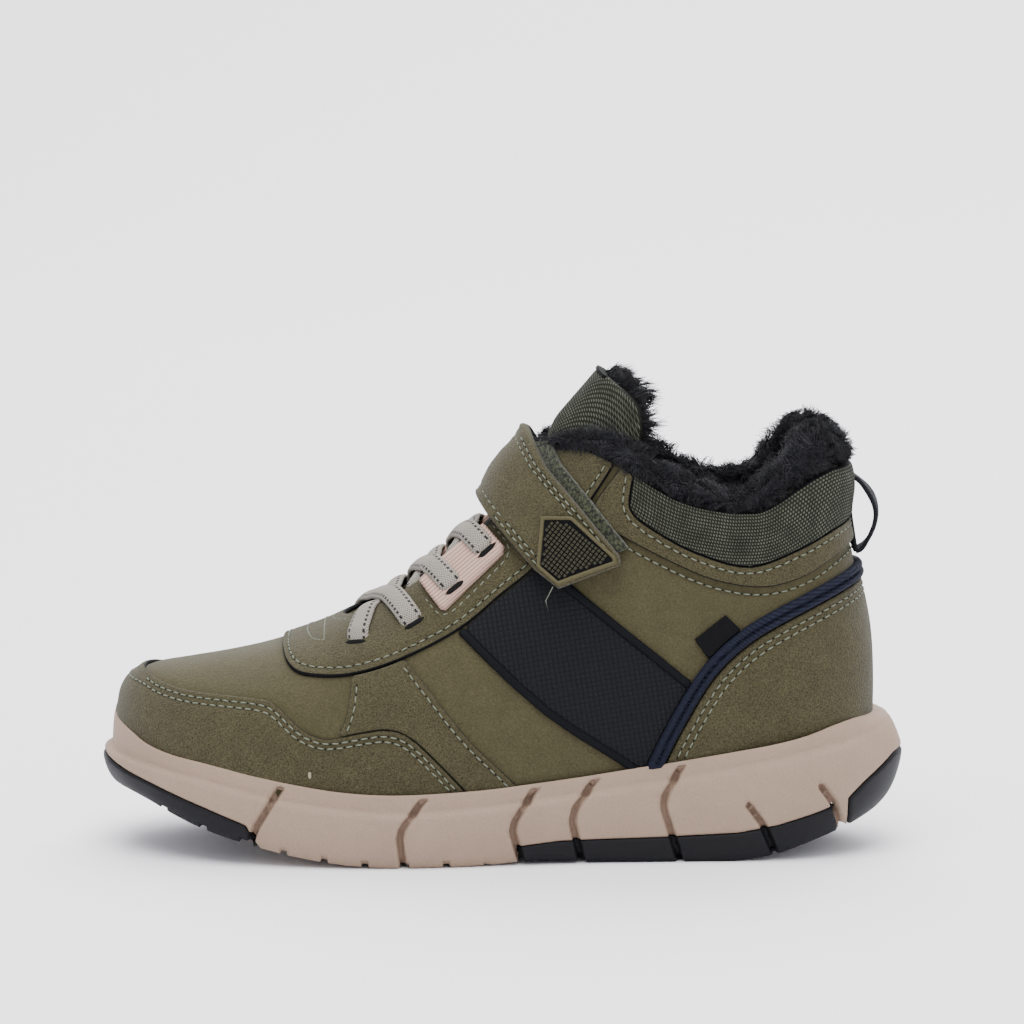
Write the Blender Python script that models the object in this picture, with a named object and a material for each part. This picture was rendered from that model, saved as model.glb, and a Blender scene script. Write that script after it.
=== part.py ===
"""A left mid boot for a child: pile lining, a closing strap and crossed elastic laces.

Every form is worked out from the driving sizes below. X runs from the toe to the heel,
Y from the outer side of the foot to the inner side, and Z up from the floor. The tables
give shares in hundredths: of the length counted from the toe tip, of the height counted
from the floor, and of the width.
"""
import math

import bmesh
import bpy
from mathutils import Vector

# Driving sizes, in millimetres
LENGTH = 233.0           # sole, toe tip to heel
HEIGHT = 140.0           # floor to the top of the tongue
WIDTH = 86.0             # scale of the widths: the sole at the ball is 98.7 of its hundredths

# Thicknesses and clearances, in millimetres
WALL = 2.6               # upper with its backing
CLEARANCE = 0.3          # between pieces that touch
SUEDE = 1.1              # toe guard, eyestay, quarter patch, collar band, heel counter
MESH_CLOTH = 0.6         # dark side panel
COLLAR_PAD = 1.6         # padded mesh panel under the pile collar
PIPING = 4.4             # width of the raised seam
PIPING_RISE = 2.2
INSOLE = 4.0
INSOLE_MARGIN = 14.0     # edge of the sole to the opening underneath the upper
TONGUE = 4.6
TONGUE_PILE = 4.5
TONGUE_PILE_INSET = 2.0  # side of the tongue to the side of its pile
TONGUE_WIDTH = 42.0
THROAT_WIDTH = 25.0
STRAP = 2.6
STRAP_ANCHOR_SIDE = 8.0  # middle to where the strap stops short on the inner side
STRAP_END = 1.0          # moulded patch on the strap
LANDING = 1.1            # loop tape that the strap closes on
LACE_HOLDER = 2.0
LACE_WIDTH = 6.6
LACE = 1.4
LACE_LIFT = 1.0          # flat lace over the round lace holder
LACE_CROSSING_RISE = 0.9
LACE_STEPS = 4
TAG = 0.7
PULL_WIDTH = 10.0
PULL = 1.2
PULL_BOW = 7.8           # heel to the outer run of the pull loop
PULL_LOW = 61.4          # hundredths of the height
PULL_HIGH = 77.1
PULL_FULLNESS = 0.7      # less is a squarer bow
PULL_STEPS = 14
PULL_SLOT_DROP = 3.0     # place kept clear of the collar panels below it
CUFF_OUT = 2.2           # pile collar beyond the wall
CUFF_IN = 9.0
CUFF_REACH = 0.9         # share of the way round to the front where the pile ends
CUFF_THINNING = 0.46     # share of the way over which it thins to clear the tongue
CUFF_END = 0.05          # what is left of its inner half at its ends
LOCKS = 24               # tufts around the collar
LOCK_DEPTH = 0.9
LOCK_LOW = 0.4           # how much a low tuft keeps of that depth
CUFF_SIDES = 8           # sides of the roll of pile
CUFF_ROUNDING = 3        # sections over which it rounds off at its ends
GROOVE = 2.2
GROOVE_DEPTH = 3.4
TREAD_PITCH = 4.98       # hundredths of the length
TREAD_GROOVE = 2.0
TREAD_DEPTH = 2.4
TREAD_REACH = 84.0       # hundredths of the length that carry tread cuts
FOAM = 3.0               # least midsole between the upper and a rubber piece
LEDGE = 0.6              # step between the two bands of the midsole

MM = 0.001
MARGIN = 30.0            # how far a cutter runs past what it cuts
SHARP_ANGLE = 40.0       # degrees: a sharper fold shows as an edge

# Sections of the upper, from the toe to the top of the leg. Each is a closed loop in a
# plane that leans more and more: its top lies on the instep, its foot on the sole and then
# up the heel. The half widths are measured from the centre, which is shifted at the toe.
# top x, top z, foot x, foot z, centre, outer half, inner half, height of the widest
# place as a share of the loop, power of the curve above it, power of the curve below it
SECTIONS = (
    (2.2, 28.9, 2.2, 18.6, 4.7, 4.7, 4.7, 0.50, 2.2, 2.2),
    (2.7, 32.4, 2.7, 15.7, 4.7, 11.9, 11.6, 0.47, 2.4, 2.8),
    (4.2, 35.4, 4.2, 14.1, 4.2, 20.5, 19.3, 0.43, 2.5, 3.6),
    (6.9, 37.3, 6.9, 13.1, 3.4, 29.0, 27.2, 0.38, 2.5, 4.2),
    (10.9, 38.4, 10.9, 12.0, 2.2, 36.4, 34.4, 0.35, 2.5, 4.8),
    (16.1, 39.9, 16.1, 11.0, 1.2, 41.6, 39.5, 0.34, 2.4, 5.0),
    (21.7, 42.1, 21.7, 10.0, 0.3, 44.2, 41.9, 0.33, 2.4, 5.0),
    (28.5, 46.1, 29.4, 9.1, 0.0, 45.3, 42.1, 0.30, 2.3, 5.0),
    (34.5, 51.4, 38.4, 9.1, 0.0, 45.6, 40.6, 0.29, 2.2, 5.0),
    (40.1, 58.1, 47.4, 9.9, 0.0, 43.3, 37.2, 0.28, 2.1, 5.0),
    (45.7, 66.3, 58.2, 11.4, 0.0, 39.5, 34.0, 0.29, 2.1, 5.0),
    (49.6, 73.4, 68.5, 13.0, 0.0, 37.0, 33.0, 0.32, 2.1, 4.8),
    (52.8, 80.2, 80.5, 14.1, 0.0, 36.0, 33.6, 0.37, 2.1, 4.0),
    (54.3, 85.6, 89.5, 14.9, 0.0, 35.3, 34.0, 0.42, 2.2, 3.2),
    (55.6, 89.9, 94.9, 19.3, 0.0, 35.1, 34.2, 0.47, 2.2, 2.7),
    (57.3, 93.4, 96.0, 31.4, 0.0, 35.0, 34.2, 0.50, 2.2, 2.4),
    (58.9, 96.7, 95.5, 46.4, 0.0, 34.5, 34.0, 0.50, 2.2, 2.3),
    (60.3, 99.6, 93.8, 60.7, 0.0, 34.1, 33.7, 0.50, 2.2, 2.3),
    (61.9, 102.6, 92.6, 75.0, 0.0, 34.2, 33.8, 0.50, 2.2, 2.3),
    (63.3, 105.1, 92.7, 89.3, 0.0, 34.7, 34.3, 0.50, 2.2, 2.3),
    (64.6, 107.4, 93.3, 101.4, 0.0, 35.1, 34.8, 0.50, 2.2, 2.3),
)

# Sections of the sole, from the toe to the heel.
# x, outer half, inner half, underside z, step z, rim z, then how far the underside,
# the step and the rim lie inside the widest outline
SOLE = (
    (0.0, -2.3, 7.0, 12.5, 20.7, 27.3, 6.4, 1.6, 3.7),
    (0.8, 9.3, 18.0, 12.4, 20.4, 26.7, 6.0, 1.5, 3.7),
    (2.8, 21.2, 28.6, 12.3, 20.0, 25.3, 5.8, 1.4, 3.3),
    (5.4, 29.5, 35.3, 11.4, 19.5, 23.4, 5.3, 1.3, 2.9),
    (8.8, 36.7, 40.6, 9.4, 18.6, 22.0, 4.7, 1.2, 2.8),
    (13.1, 42.3, 44.1, 6.9, 17.4, 20.9, 4.2, 1.0, 2.7),
    (18.2, 46.4, 46.4, 4.6, 15.4, 19.3, 4.0, 1.0, 2.7),
    (24.2, 49.3, 47.7, 2.3, 13.5, 17.3, 3.7, 1.0, 2.7),
    (30.3, 50.8, 47.7, 0.7, 12.2, 15.8, 3.7, 1.0, 2.7),
    (36.3, 51.0, 46.3, 0.0, 11.4, 15.2, 3.7, 1.0, 2.7),
    (42.3, 49.8, 43.7, 0.0, 11.6, 15.4, 3.7, 1.0, 2.7),
    (48.3, 47.2, 40.7, 0.2, 12.3, 15.9, 3.7, 1.0, 2.7),
    (54.3, 44.4, 38.1, 0.8, 13.4, 16.9, 3.7, 1.0, 2.7),
    (60.3, 42.1, 36.7, 0.4, 14.7, 18.1, 3.7, 1.0, 2.7),
    (66.3, 40.7, 36.5, 0.0, 16.1, 19.6, 3.7, 1.0, 2.7),
    (72.3, 39.9, 37.0, 0.0, 17.6, 21.1, 3.7, 1.0, 2.6),
    (78.3, 39.5, 37.4, 0.0, 19.4, 22.8, 4.0, 1.0, 2.6),
    (83.5, 38.8, 37.4, 1.2, 21.1, 24.3, 4.4, 1.2, 2.6),
    (87.8, 37.0, 36.3, 3.2, 22.7, 25.9, 5.1, 1.4, 2.8),
    (91.6, 33.3, 33.0, 5.0, 23.9, 27.7, 6.0, 1.7, 3.5),
    (94.6, 28.4, 28.3, 6.1, 24.4, 29.0, 7.4, 2.6, 4.9),
    (97.2, 21.4, 21.4, 6.7, 24.7, 29.9, 9.1, 3.5, 6.5),
    (99.1, 12.8, 12.8, 6.9, 24.7, 30.0, 10.2, 4.7, 7.2),
    (100.0, 4.7, 4.7, 6.9, 24.7, 30.0, 10.7, 4.9, 7.9),
)

# Seams and edges as they run in side view: along, up
COLLAR_LINE = ((50.0, 78.0), (53.5, 82.0), (58.6, 84.0), (62.0, 83.1), (66.7, 79.1),
               (71.9, 74.3), (77.0, 72.3), (79.6, 72.0), (82.2, 72.6), (86.7, 77.3),
               (89.1, 79.4), (91.2, 80.1), (97.0, 80.1))
GUARD_LINE = ((-4.0, 36.6), (4.7, 36.6), (8.0, 35.2), (11.9, 34.2), (19.4, 33.7),
              (22.2, 32.9), (25.5, 28.4), (27.3, 26.9), (29.1, 26.4), (33.0, 27.6),
              (36.2, 28.2), (39.0, 26.4), (42.2, 21.4), (46.2, 14.3))
EYESTAY_LINE = ((22.3, 47.5), (22.7, 42.9), (24.0, 39.5), (26.4, 38.2), (31.5, 38.6),
                (37.6, 41.7), (44.8, 47.7), (50.0, 54.6), (54.1, 60.1), (57.7, 67.1),
                (61.2, 74.3), (65.0, 84.5))
QUARTER = ((31.5, 42.0), (31.7, 36.7), (30.9, 29.6), (28.5, 24.0), (46.2, 12.0),
           (52.6, 12.0), (52.6, 15.0), (46.2, 25.6), (41.3, 35.7), (36.7, 45.0))
DARK_PANEL = ((43.0, 52.0), (45.2, 48.4), (55.9, 31.9), (66.3, 20.3), (70.0, 14.0),
              (75.0, 40.0), (73.2, 35.7), (68.1, 42.4), (57.1, 57.0), (54.0, 62.0))
PIPING_LINE = ((67.0, 13.0), (68.8, 20.0), (71.8, 29.9), (75.6, 39.9), (80.3, 47.1),
               (86.4, 52.7), (93.4, 57.6), (100.0, 60.0))
BAND_LOW = ((60.3, 70.2), (62.6, 68.6), (65.7, 66.0), (71.8, 61.0), (76.7, 57.9),
            (82.1, 56.7), (87.0, 58.6), (91.5, 62.7), (97.0, 67.5))
BAND_TOP = ((66.9, 84.0), (65.9, 75.8), (66.1, 71.7), (69.3, 67.7), (74.2, 63.6),
            (80.3, 61.0), (86.4, 64.3), (91.2, 68.0), (97.0, 71.0))
BAND_FRONT = ((66.0, 84.0), (61.9, 74.5))
STRAP_OUTLINE = ((46.6, 71.2), (45.0, 76.0), (51.5, 87.5), (54.7, 79.7), (59.2, 71.8),
                 (64.3, 64.0), (64.4, 62.1), (56.8, 56.9), (53.9, 60.4), (48.6, 68.4))
STRAP_PATCH = ((55.3, 70.4), (59.1, 71.4), (64.0, 63.9), (64.1, 62.4), (56.8, 57.3),
               (54.3, 60.6))
STRAP_ANCHOR = ((60.5, 85.0), (57.0, 66.0), (52.0, 56.0), (70.0, 50.0), (75.0, 80.0))
LANDING_OUTLINE = ((52.0, 80.0), (54.5, 83.0), (58.1, 78.9), (62.0, 72.7), (65.9, 65.1),
                   (64.2, 63.5), (57.0, 59.0), (54.0, 62.5), (51.0, 71.0))
HOLDER_OUTLINE = ((40.3, 55.4), (42.7, 51.1), (43.3, 51.0), (50.4, 62.2), (50.6, 63.6),
                  (48.4, 67.2), (47.2, 66.0))
TAG_OUTLINE = ((73.6, 46.0), (77.4, 51.0), (79.7, 47.3), (75.6, 41.4))
TONGUE_FRONT = ((26.0, 40.0), (27.0, 55.0), (40.0, 72.0), (50.0, 92.0), (62.4, 100.2),
                (67.2, 91.8), (66.0, 80.0), (58.0, 62.0), (46.0, 46.0), (36.0, 38.0))
PILE_TOP = ((55.0, 88.0), (58.6, 89.8), (63.2, 89.9), (66.9, 86.8), (71.8, 81.7),
            (76.6, 78.2), (79.6, 77.7), (83.3, 80.7), (86.3, 86.8), (88.2, 88.2),
            (90.5, 88.0), (92.5, 86.0))
EYELETS = ((32.4, 44.8), (39.2, 48.8), (44.5, 55.0), (48.6, 62.4))

# Cuts through the side of the sole: line, in the same shares
SIDE_GROOVES = (
    ((23.1, 16.7), (20.0, 8.5), (18.5, 2.0)),
    ((40.7, 14.6), (37.9, 8.4), (37.6, 6.4), (38.2, -2.0)),
    ((54.9, 17.7), (51.7, 9.5), (51.4, 7.4), (52.9, -2.0)),
    ((62.0, 18.7), (59.0, 11.5), (58.7, 8.9), (60.2, -2.0)),
    ((72.7, 21.9), (69.9, 13.6), (69.9, 11.5), (72.4, -2.0)),
    ((80.3, 12.1), (82.1, 8.0), (83.6, 2.0)),
    ((89.4, 15.6), (90.9, 12.1), (92.2, 6.0)),
)
# Ends of cutters, in the same shares
THROAT_FRONT = 30.5
THROAT_BACK = 62.0
THROAT_FLOOR = 34.0
UNDERSIDE_TOP = 22.0
UNDERSIDE_FRONT = 8.0
UNDERSIDE_BACK = 91.0
FOOT_TOP = 25.0
TONGUE_PILE_LOW = (50.0, 76.0)
PAD_TOP = 88.0
EYESTAY_TOP = 21.0
HEEL_SLOT_FRONT = 82.0
HEEL_SLOT_BACK = 110.0

TOE_RUBBER = ((-3.0, 20.5), (1.5, 18.4), (6.9, 15.7), (13.0, 12.1), (18.6, 8.6),
              (20.4, 3.0), (20.4, -3.0), (-3.0, -3.0))
HEEL_RUBBER = ((52.2, -3.0), (52.2, 4.0), (57.2, 4.9), (69.4, 5.3), (79.2, 6.1),
               (84.1, 7.6), (89.0, 9.9), (91.4, 11.3), (91.8, -3.0))
REAR_RUBBER = ((93.0, -3.0), (93.0, 12.5), (95.0, 15.5), (97.5, 18.5), (99.0, 20.2),
               (103.0, 20.6), (103.0, -3.0))


def along(share):
    """Place along X of a share of the length, counted from the toe tip."""
    return (share / 100 - 0.5) * LENGTH


def up(share):
    """Height of a share of the height."""
    return share / 100 * HEIGHT


def across(share):
    """Width of a share of the width."""
    return share / 100 * WIDTH


SIDE_SHIFT = across((max(row[1] for row in SOLE) - max(row[2] for row in SOLE)) / 2)
BOTH = (-WIDTH, WIDTH)
SIDES = (("outer", (-WIDTH, SIDE_SHIFT)), ("inner", (SIDE_SHIFT, WIDTH)))


def side_view(outline):
    """An outline in shares as points in millimetres, seen from the side."""
    return [Vector((along(x), up(z))) for x, z in outline]


def smooth_rows(rows, steps):
    """The rows of a table with others between them on smooth curves."""
    filled = []
    for index in range(len(rows) - 1):
        before = rows[max(index - 1, 0)]
        start, end = rows[index], rows[index + 1]
        after = rows[min(index + 2, len(rows) - 1)]
        for step in range(steps):
            t = step / steps
            filled.append(tuple(
                0.5 * (2 * b + (c - a) * t + (2 * a - 5 * b + 4 * c - d) * t * t
                       + (3 * b - a - 3 * c + d) * t ** 3)
                for a, b, c, d in zip(before, start, end, after)))
    filled.append(tuple(rows[-1]))
    return filled


def even_points(curve, count):
    """A polyline divided into equal lengths."""
    lengths = [0.0]
    for start, end in zip(curve, curve[1:]):
        lengths.append(lengths[-1] + (end - start).length)
    points = []
    index = 0
    for step in range(count + 1):
        target = lengths[-1] * step / count
        while index < len(curve) - 2 and lengths[index + 1] < target:
            index += 1
        span = lengths[index + 1] - lengths[index]
        part = (target - lengths[index]) / span if span else 0.0
        points.append(curve[index].lerp(curve[index + 1], min(max(part, 0.0), 1.0)))
    return points


def shifted(line, distance):
    """A polyline moved sideways, to the left of its direction."""
    moved = []
    for index, point in enumerate(line):
        before = line[max(index - 1, 0)]
        after = line[min(index + 1, len(line) - 1)]
        direction = (after - before).normalized()
        moved.append(point + Vector((-direction.y, direction.x)) * distance)
    return moved


def grown(outline, distance):
    """A closed outline moved outwards all round."""
    area = sum(a.x * b.y - b.x * a.y for a, b in zip(outline, outline[1:] + outline[:1]))
    turn = -1.0 if area > 0 else 1.0
    count = len(outline)
    moved = []
    for index, point in enumerate(outline):
        first = (point - outline[index - 1]).normalized()
        second = (outline[(index + 1) % count] - point).normalized()
        normal = Vector((-first.y - second.y, first.x + second.x))
        spread = max(normal.length_squared / 2, 0.5)
        moved.append(point + normal * (turn * distance / spread))
    return moved


# Surface of the upper

SECTION_STEPS = 1
SECTION_POINTS = 20
CURVE_STEPS = 60


def half_section(row, outer):
    """Half of a section, from its foot to its top, in millimetres."""
    top_x, top_z, foot_x, foot_z, centre, outer_half, inner_half, widest, above, below = row
    foot = Vector((along(foot_x), 0.0, up(foot_z)))
    axis = Vector((along(top_x), 0.0, up(top_z))) - foot
    sign, half = (-1.0, across(outer_half)) if outer else (1.0, across(inner_half))
    middle = across(centre) + SIDE_SHIFT
    curve = []
    for step in range(CURVE_STEPS + 1):
        angle = math.pi * (step / CURVE_STEPS - 0.5)
        power = above if angle > 0 else below
        reach = (abs(math.cos(angle)) ** power + abs(math.sin(angle)) ** power) ** (-1 / power)
        rise = reach * math.sin(angle)
        share = widest + rise * ((1 - widest) if angle > 0 else widest)
        point = foot + axis * share
        point.y = middle + sign * half * reach * math.cos(angle)
        curve.append(point)
    return curve


def section(row):
    """A closed section: up the outer side from the foot, and down the inner side."""
    count = SECTION_POINTS // 2
    outer = even_points(half_section(row, True), count)
    inner = even_points(half_section(row, False), count)
    return outer[:-1] + inner[:0:-1]


GRID = [section(row) for row in smooth_rows(SECTIONS, SECTION_STEPS)]


def grid_normal(ring, spot):
    """Outward direction of the surface at a point of the grid."""
    before = GRID[max(ring - 1, 0)][spot]
    after = GRID[min(ring + 1, len(GRID) - 1)][spot]
    left = GRID[ring][spot - 1]
    right = GRID[ring][(spot + 1) % SECTION_POINTS]
    return (after - before).cross(right - left).normalized()


NORMALS = [[grid_normal(ring, spot) for spot in range(SECTION_POINTS)]
           for ring in range(len(GRID))]


def surface(ring, spot, offset):
    """The surface, or a place off it, at a broken row and a broken point number."""
    ring = min(max(ring, 0.0), len(GRID) - 1.001)
    low_ring, low_spot = int(ring), int(math.floor(spot))
    a, b = ring - low_ring, spot - low_spot
    place = Vector()
    for ring_step, ring_weight in ((0, 1 - a), (1, a)):
        for spot_step, spot_weight in ((0, 1 - b), (1, b)):
            row = low_ring + ring_step
            column = (low_spot + spot_step) % SECTION_POINTS
            corner = GRID[row][column] + NORMALS[row][column] * offset
            place += corner * (ring_weight * spot_weight)
    return place


def nearest_place(x, z, outer):
    """Row and point number where a side-view place lies on one side of the upper."""
    half = SECTION_POINTS // 2
    best = None
    steps = 4
    for ring_step in range((len(GRID) - 1) * steps):
        for spot_step in range(half * steps):
            ring = ring_step / steps
            spot = spot_step / steps + (0 if outer else half)
            point = surface(ring, spot, 0.0)
            miss = (point.x - x) ** 2 + (point.z - z) ** 2
            if best is None or miss < best[0]:
                best = (miss, ring, spot)
    return best[1], best[2]


# Solids

def finish_mesh(name, mesh):
    """A Blender mesh in metres with its faces outwards."""
    bmesh.ops.recalc_face_normals(mesh, faces=mesh.faces)
    bmesh.ops.scale(mesh, vec=(MM, MM, MM), verts=mesh.verts)
    data = bpy.data.meshes.new(name)
    mesh.to_mesh(data)
    mesh.free()
    data.shade_smooth()
    data.set_sharp_from_angle(angle=math.radians(SHARP_ANGLE))
    return data


def add_object(name, mesh):
    item = bpy.data.objects.new(name, finish_mesh(name, mesh))
    bpy.context.scene.collection.objects.link(item)
    return item


def loft(rings, capped=True):
    """A closed solid through rings of the same number of points, with fanned ends.

    Each bent square is split the same way in every layer, so that layers stay apart.
    """
    mesh = bmesh.new()
    rows = [[mesh.verts.new(point) for point in ring] for ring in rings]
    count = len(rows[0])
    for lower, upper in zip(rows, rows[1:]):
        for index in range(count):
            following = (index + 1) % count
            mesh.faces.new((lower[index], lower[following], upper[following]))
            mesh.faces.new((lower[index], upper[following], upper[index]))
    if capped:
        for row in (rows[0], rows[-1]):
            middle = sum((vert.co for vert in row), Vector()) / count
            centre = mesh.verts.new(middle)
            for index in range(count):
                mesh.faces.new((row[index], row[(index + 1) % count], centre))
    return mesh


def form(name, offset):
    """The closed form of the upper, larger or smaller than its outside by an offset."""
    rings = [[point + normal * offset for point, normal in zip(ring, normals)]
             for ring, normals in zip(GRID, NORMALS)]
    mesh = loft(rings)
    mesh.verts.ensure_lookup_table()
    toe_centre = mesh.verts[-2]
    toe_centre.co.x -= offset
    return add_object(name, mesh)


def extruded(name, outline, ends, corner):
    """A flat outline drawn out into a solid, with a function that places its corners."""
    mesh = bmesh.new()
    rows = [[mesh.verts.new(corner(point, end)) for point in outline] for end in ends]
    count = len(outline)
    caps = [mesh.faces.new(row) for row in rows]
    for index in range(count):
        following = (index + 1) % count
        mesh.faces.new((rows[0][index], rows[0][following],
                        rows[1][following], rows[1][index]))
    bmesh.ops.triangulate(mesh, faces=caps)
    return add_object(name, mesh)


def prism(name, outline, low, high):
    """A side-view outline in millimetres drawn out along Y."""
    return extruded(name, outline, (low, high), lambda point, y: (point.x, y, point.y))


def plan_prism(name, outline, low, high):
    """An outline seen from above, in millimetres, drawn out along Z."""
    return extruded(name, outline, (low, high), lambda point, z: (point.x, point.y, z))


def box(name, low, high):
    """A block between two corners, in millimetres."""
    outline = [Vector(corner) for corner in
               ((low[0], low[1]), (high[0], low[1]), (high[0], high[1]), (low[0], high[1]))]
    return plan_prism(name, outline, low[2], high[2])


def tool(item):
    """Marks an object as a cutter."""
    item.hide_render = True
    item.display_type = "WIRE"
    return item


def carve(piece, cutter, operation="DIFFERENCE"):
    """Cuts a piece with a cutter, or keeps or adds what the cutter covers.

    The exact solver loses whole pieces here, where thin layers cross at low angles, so
    the one for closed meshes is used: every piece and cutter is closed.
    """
    modifier = piece.modifiers.new(cutter.name, "BOOLEAN")
    modifier.operation = operation
    modifier.solver = "MANIFOLD"
    modifier.object = cutter
    return piece


def paint(piece, finish):
    piece.data.materials.append(finish)
    return piece


def material(name, colour, roughness, metallic=0.0):
    """A plain surface from an sRGB hex colour."""
    value = bpy.data.materials.new(name)
    value.use_nodes = True
    shader = value.node_tree.nodes["Principled BSDF"]
    parts = [int(colour[index:index + 2], 16) / 255 for index in (0, 2, 4)]
    linear = [part / 12.92 if part <= 0.04045 else ((part + 0.055) / 1.055) ** 2.4
              for part in parts]
    shader.inputs["Base Color"].default_value = (*linear, 1.0)
    shader.inputs["Roughness"].default_value = roughness
    shader.inputs["Metallic"].default_value = metallic
    value.diffuse_color = (*linear, 1.0)
    return value


FORMS = {}


def form_tool(offset):
    """A cutter of the upper's form at an offset, made once."""
    key = round(offset, 3)
    if key not in FORMS:
        FORMS[key] = tool(form(f"form_{len(FORMS)}", offset))
    return FORMS[key]


# Sole

SOLE_STEPS = 1
# Levels of the sole's side: height between underside and step, share of the inset there
BELLY = ((0.0, 1.0), (0.3, 0.25), (0.62, 0.0))


def sole_rings(inset=0.0):
    """Outlines of the sole from its underside up to its rim, in millimetres."""
    rows = smooth_rows(SOLE, SOLE_STEPS)
    plan = [Vector((along(row[0]), SIDE_SHIFT - across(row[1]))) for row in rows]
    plan += [Vector((along(row[0]), SIDE_SHIFT + across(row[2]))) for row in reversed(rows)]
    details = rows + rows[::-1]
    count = len(plan)
    normals = []
    for index in range(count):
        tangent = plan[(index + 1) % count] - plan[index - 1]
        normals.append(Vector((tangent.y, -tangent.x)).normalized())
    rings = []
    for level in range(len(BELLY) + 3):
        ring = []
        for point, normal, row in zip(plan, normals, details):
            underside, step, rim = (up(max(value, 0.0)) for value in row[3:6])
            low_inset, step_inset, rim_inset = (across(value) for value in row[6:9])
            heights = [underside + part * (step - underside) for part, _ in BELLY]
            insets = [share * low_inset for _, share in BELLY]
            heights += [step - LEDGE, step, rim]
            insets += [step_inset * 0.4, step_inset + LEDGE, max(rim_inset, step_inset + LEDGE)]
            place = point - normal * (insets[level] + inset)
            ring.append(Vector((place.x, place.y, heights[level])))
        rings.append(ring)
    return rings


def sole_form(name, inset=0.0):
    """The whole sole as one solid, closed by strips across its underside and its top."""
    rings = sole_rings(inset)
    mesh = loft(rings, capped=False)
    mesh.verts.ensure_lookup_table()
    count = len(rings[0])
    for first in (0, (len(rings) - 1) * count):
        for index in range(count // 2 - 1):
            other = count - 1 - index
            mesh.faces.new([mesh.verts[first + spot]
                            for spot in (index, index + 1, other - 1, other)])
    return add_object(name, mesh)


def rim_line():
    """Top edge of the sole in side view, run on past the toe and the heel."""
    rim = sole_rings()[-1]
    edge = [Vector((point.x, point.z)) for point in rim[:len(rim) // 2]]
    first = Vector((edge[0].x - MARGIN, edge[0].y))
    last = Vector((edge[-1].x + MARGIN, edge[-1].y))
    return [first] + edge + [last]


def strip_outline(line, width):
    """A line in side view given a width."""
    return shifted(line, width / 2) + shifted(line, -width / 2)[::-1]


def groove_tool():
    """Cuts in the side of the sole and across its tread."""
    core = tool(sole_form("sole_core", GROOVE_DEPTH))
    grooves = None
    for number, line in enumerate(SIDE_GROOVES):
        outline = strip_outline(side_view(line), GROOVE)
        cutter = tool(prism(f"side_groove_{number}", outline, -WIDTH, WIDTH))
        if grooves is None:
            grooves = cutter
        else:
            carve(grooves, cutter, "UNION")
    carve(grooves, core)
    return grooves


def tread_tools():
    """Blocks that cut the grooves across the tread."""
    rows = smooth_rows(SOLE, SOLE_STEPS)
    cutters = []
    for number in range(int(TREAD_REACH / TREAD_PITCH)):
        x = along(50 - TREAD_REACH / 2 + number * TREAD_PITCH)
        row = min(rows, key=lambda item: abs(along(item[0]) - x))
        top = up(row[3]) + TREAD_DEPTH
        cutters.append(tool(box(f"tread_groove_{number}", (x, -WIDTH, -MARGIN),
                                (x + TREAD_GROOVE, WIDTH, top))))
    joined = cutters[0]
    for cutter in cutters[1:]:
        carve(joined, cutter, "UNION")
    return joined


def make_sole(paints):
    """Midsole with its cup for the upper, and the three rubber pieces of the outsole."""
    grooves = groove_tool()
    tread = tread_tools()
    rubbers = (("outsole_toe", TOE_RUBBER), ("outsole_heel", HEEL_RUBBER),
               ("outsole_rear", REAR_RUBBER))
    midsole = paint(sole_form("midsole"), paints["midsole"])
    carve(midsole, form_tool(CLEARANCE))
    for name, outline in rubbers:
        shape = side_view(outline)
        rubber = paint(sole_form(name), paints["rubber"])
        carve(rubber, tool(prism(f"{name}_part", shape, -WIDTH, WIDTH)), "INTERSECT")
        carve(rubber, form_tool(FOAM + 2 * CLEARANCE))
        carve(rubber, grooves)
        carve(rubber, tread)
        seat = tool(prism(f"{name}_seat", grown(shape, CLEARANCE), -WIDTH, WIDTH))
        carve(seat, form_tool(FOAM + CLEARANCE))
        carve(midsole, seat)
    carve(midsole, grooves)
    carve(midsole, tread)


# Upper

def collar_tool():
    """Everything above the edge of the collar."""
    line = side_view(COLLAR_LINE)
    top = HEIGHT + MARGIN
    outline = line + [Vector((line[-1].x + MARGIN, line[-1].y)),
                      Vector((line[-1].x + MARGIN, top)), Vector((line[0].x, top))]
    return tool(prism("above_collar", outline, -WIDTH, WIDTH))


def throat_tool():
    """The slot over the instep, round at its front, that the tongue fills."""
    half = THROAT_WIDTH / 2
    front = along(THROAT_FRONT)
    back = along(THROAT_BACK)
    outline = [Vector((back, SIDE_SHIFT - half))]
    steps = 10
    for step in range(steps + 1):
        angle = math.pi * (0.5 + step / steps)
        outline.append(Vector((front + half + half * math.cos(angle),
                               SIDE_SHIFT - half * math.sin(angle))))
    outline.append(Vector((back, SIDE_SHIFT + half)))
    return tool(plan_prism("throat", outline, up(THROAT_FLOOR), HEIGHT + MARGIN))


def underside_tool():
    """The opening underneath the upper, inside its turned-in edge."""
    rows = [row for row in SOLE if UNDERSIDE_FRONT < row[0] < UNDERSIDE_BACK]
    outline = [Vector((along(row[0]), SIDE_SHIFT - across(row[1]) + INSOLE_MARGIN))
               for row in rows]
    outline += [Vector((along(row[0]), SIDE_SHIFT + across(row[2]) - INSOLE_MARGIN))
                for row in reversed(rows)]
    return tool(plan_prism("underneath", outline, -MARGIN, up(UNDERSIDE_TOP)))


def foot_line(rise):
    """Underside of the upper in side view, raised by a height."""
    rows = [row for row in smooth_rows(SECTIONS, SECTION_STEPS) if row[3] < FOOT_TOP]
    line = [Vector((along(row[2]), up(row[3]) + rise)) for row in rows]
    first = Vector((line[0].x - MARGIN, line[0].y))
    last = Vector((line[-1].x + MARGIN, line[-1].y))
    return [first] + line + [last]


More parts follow.
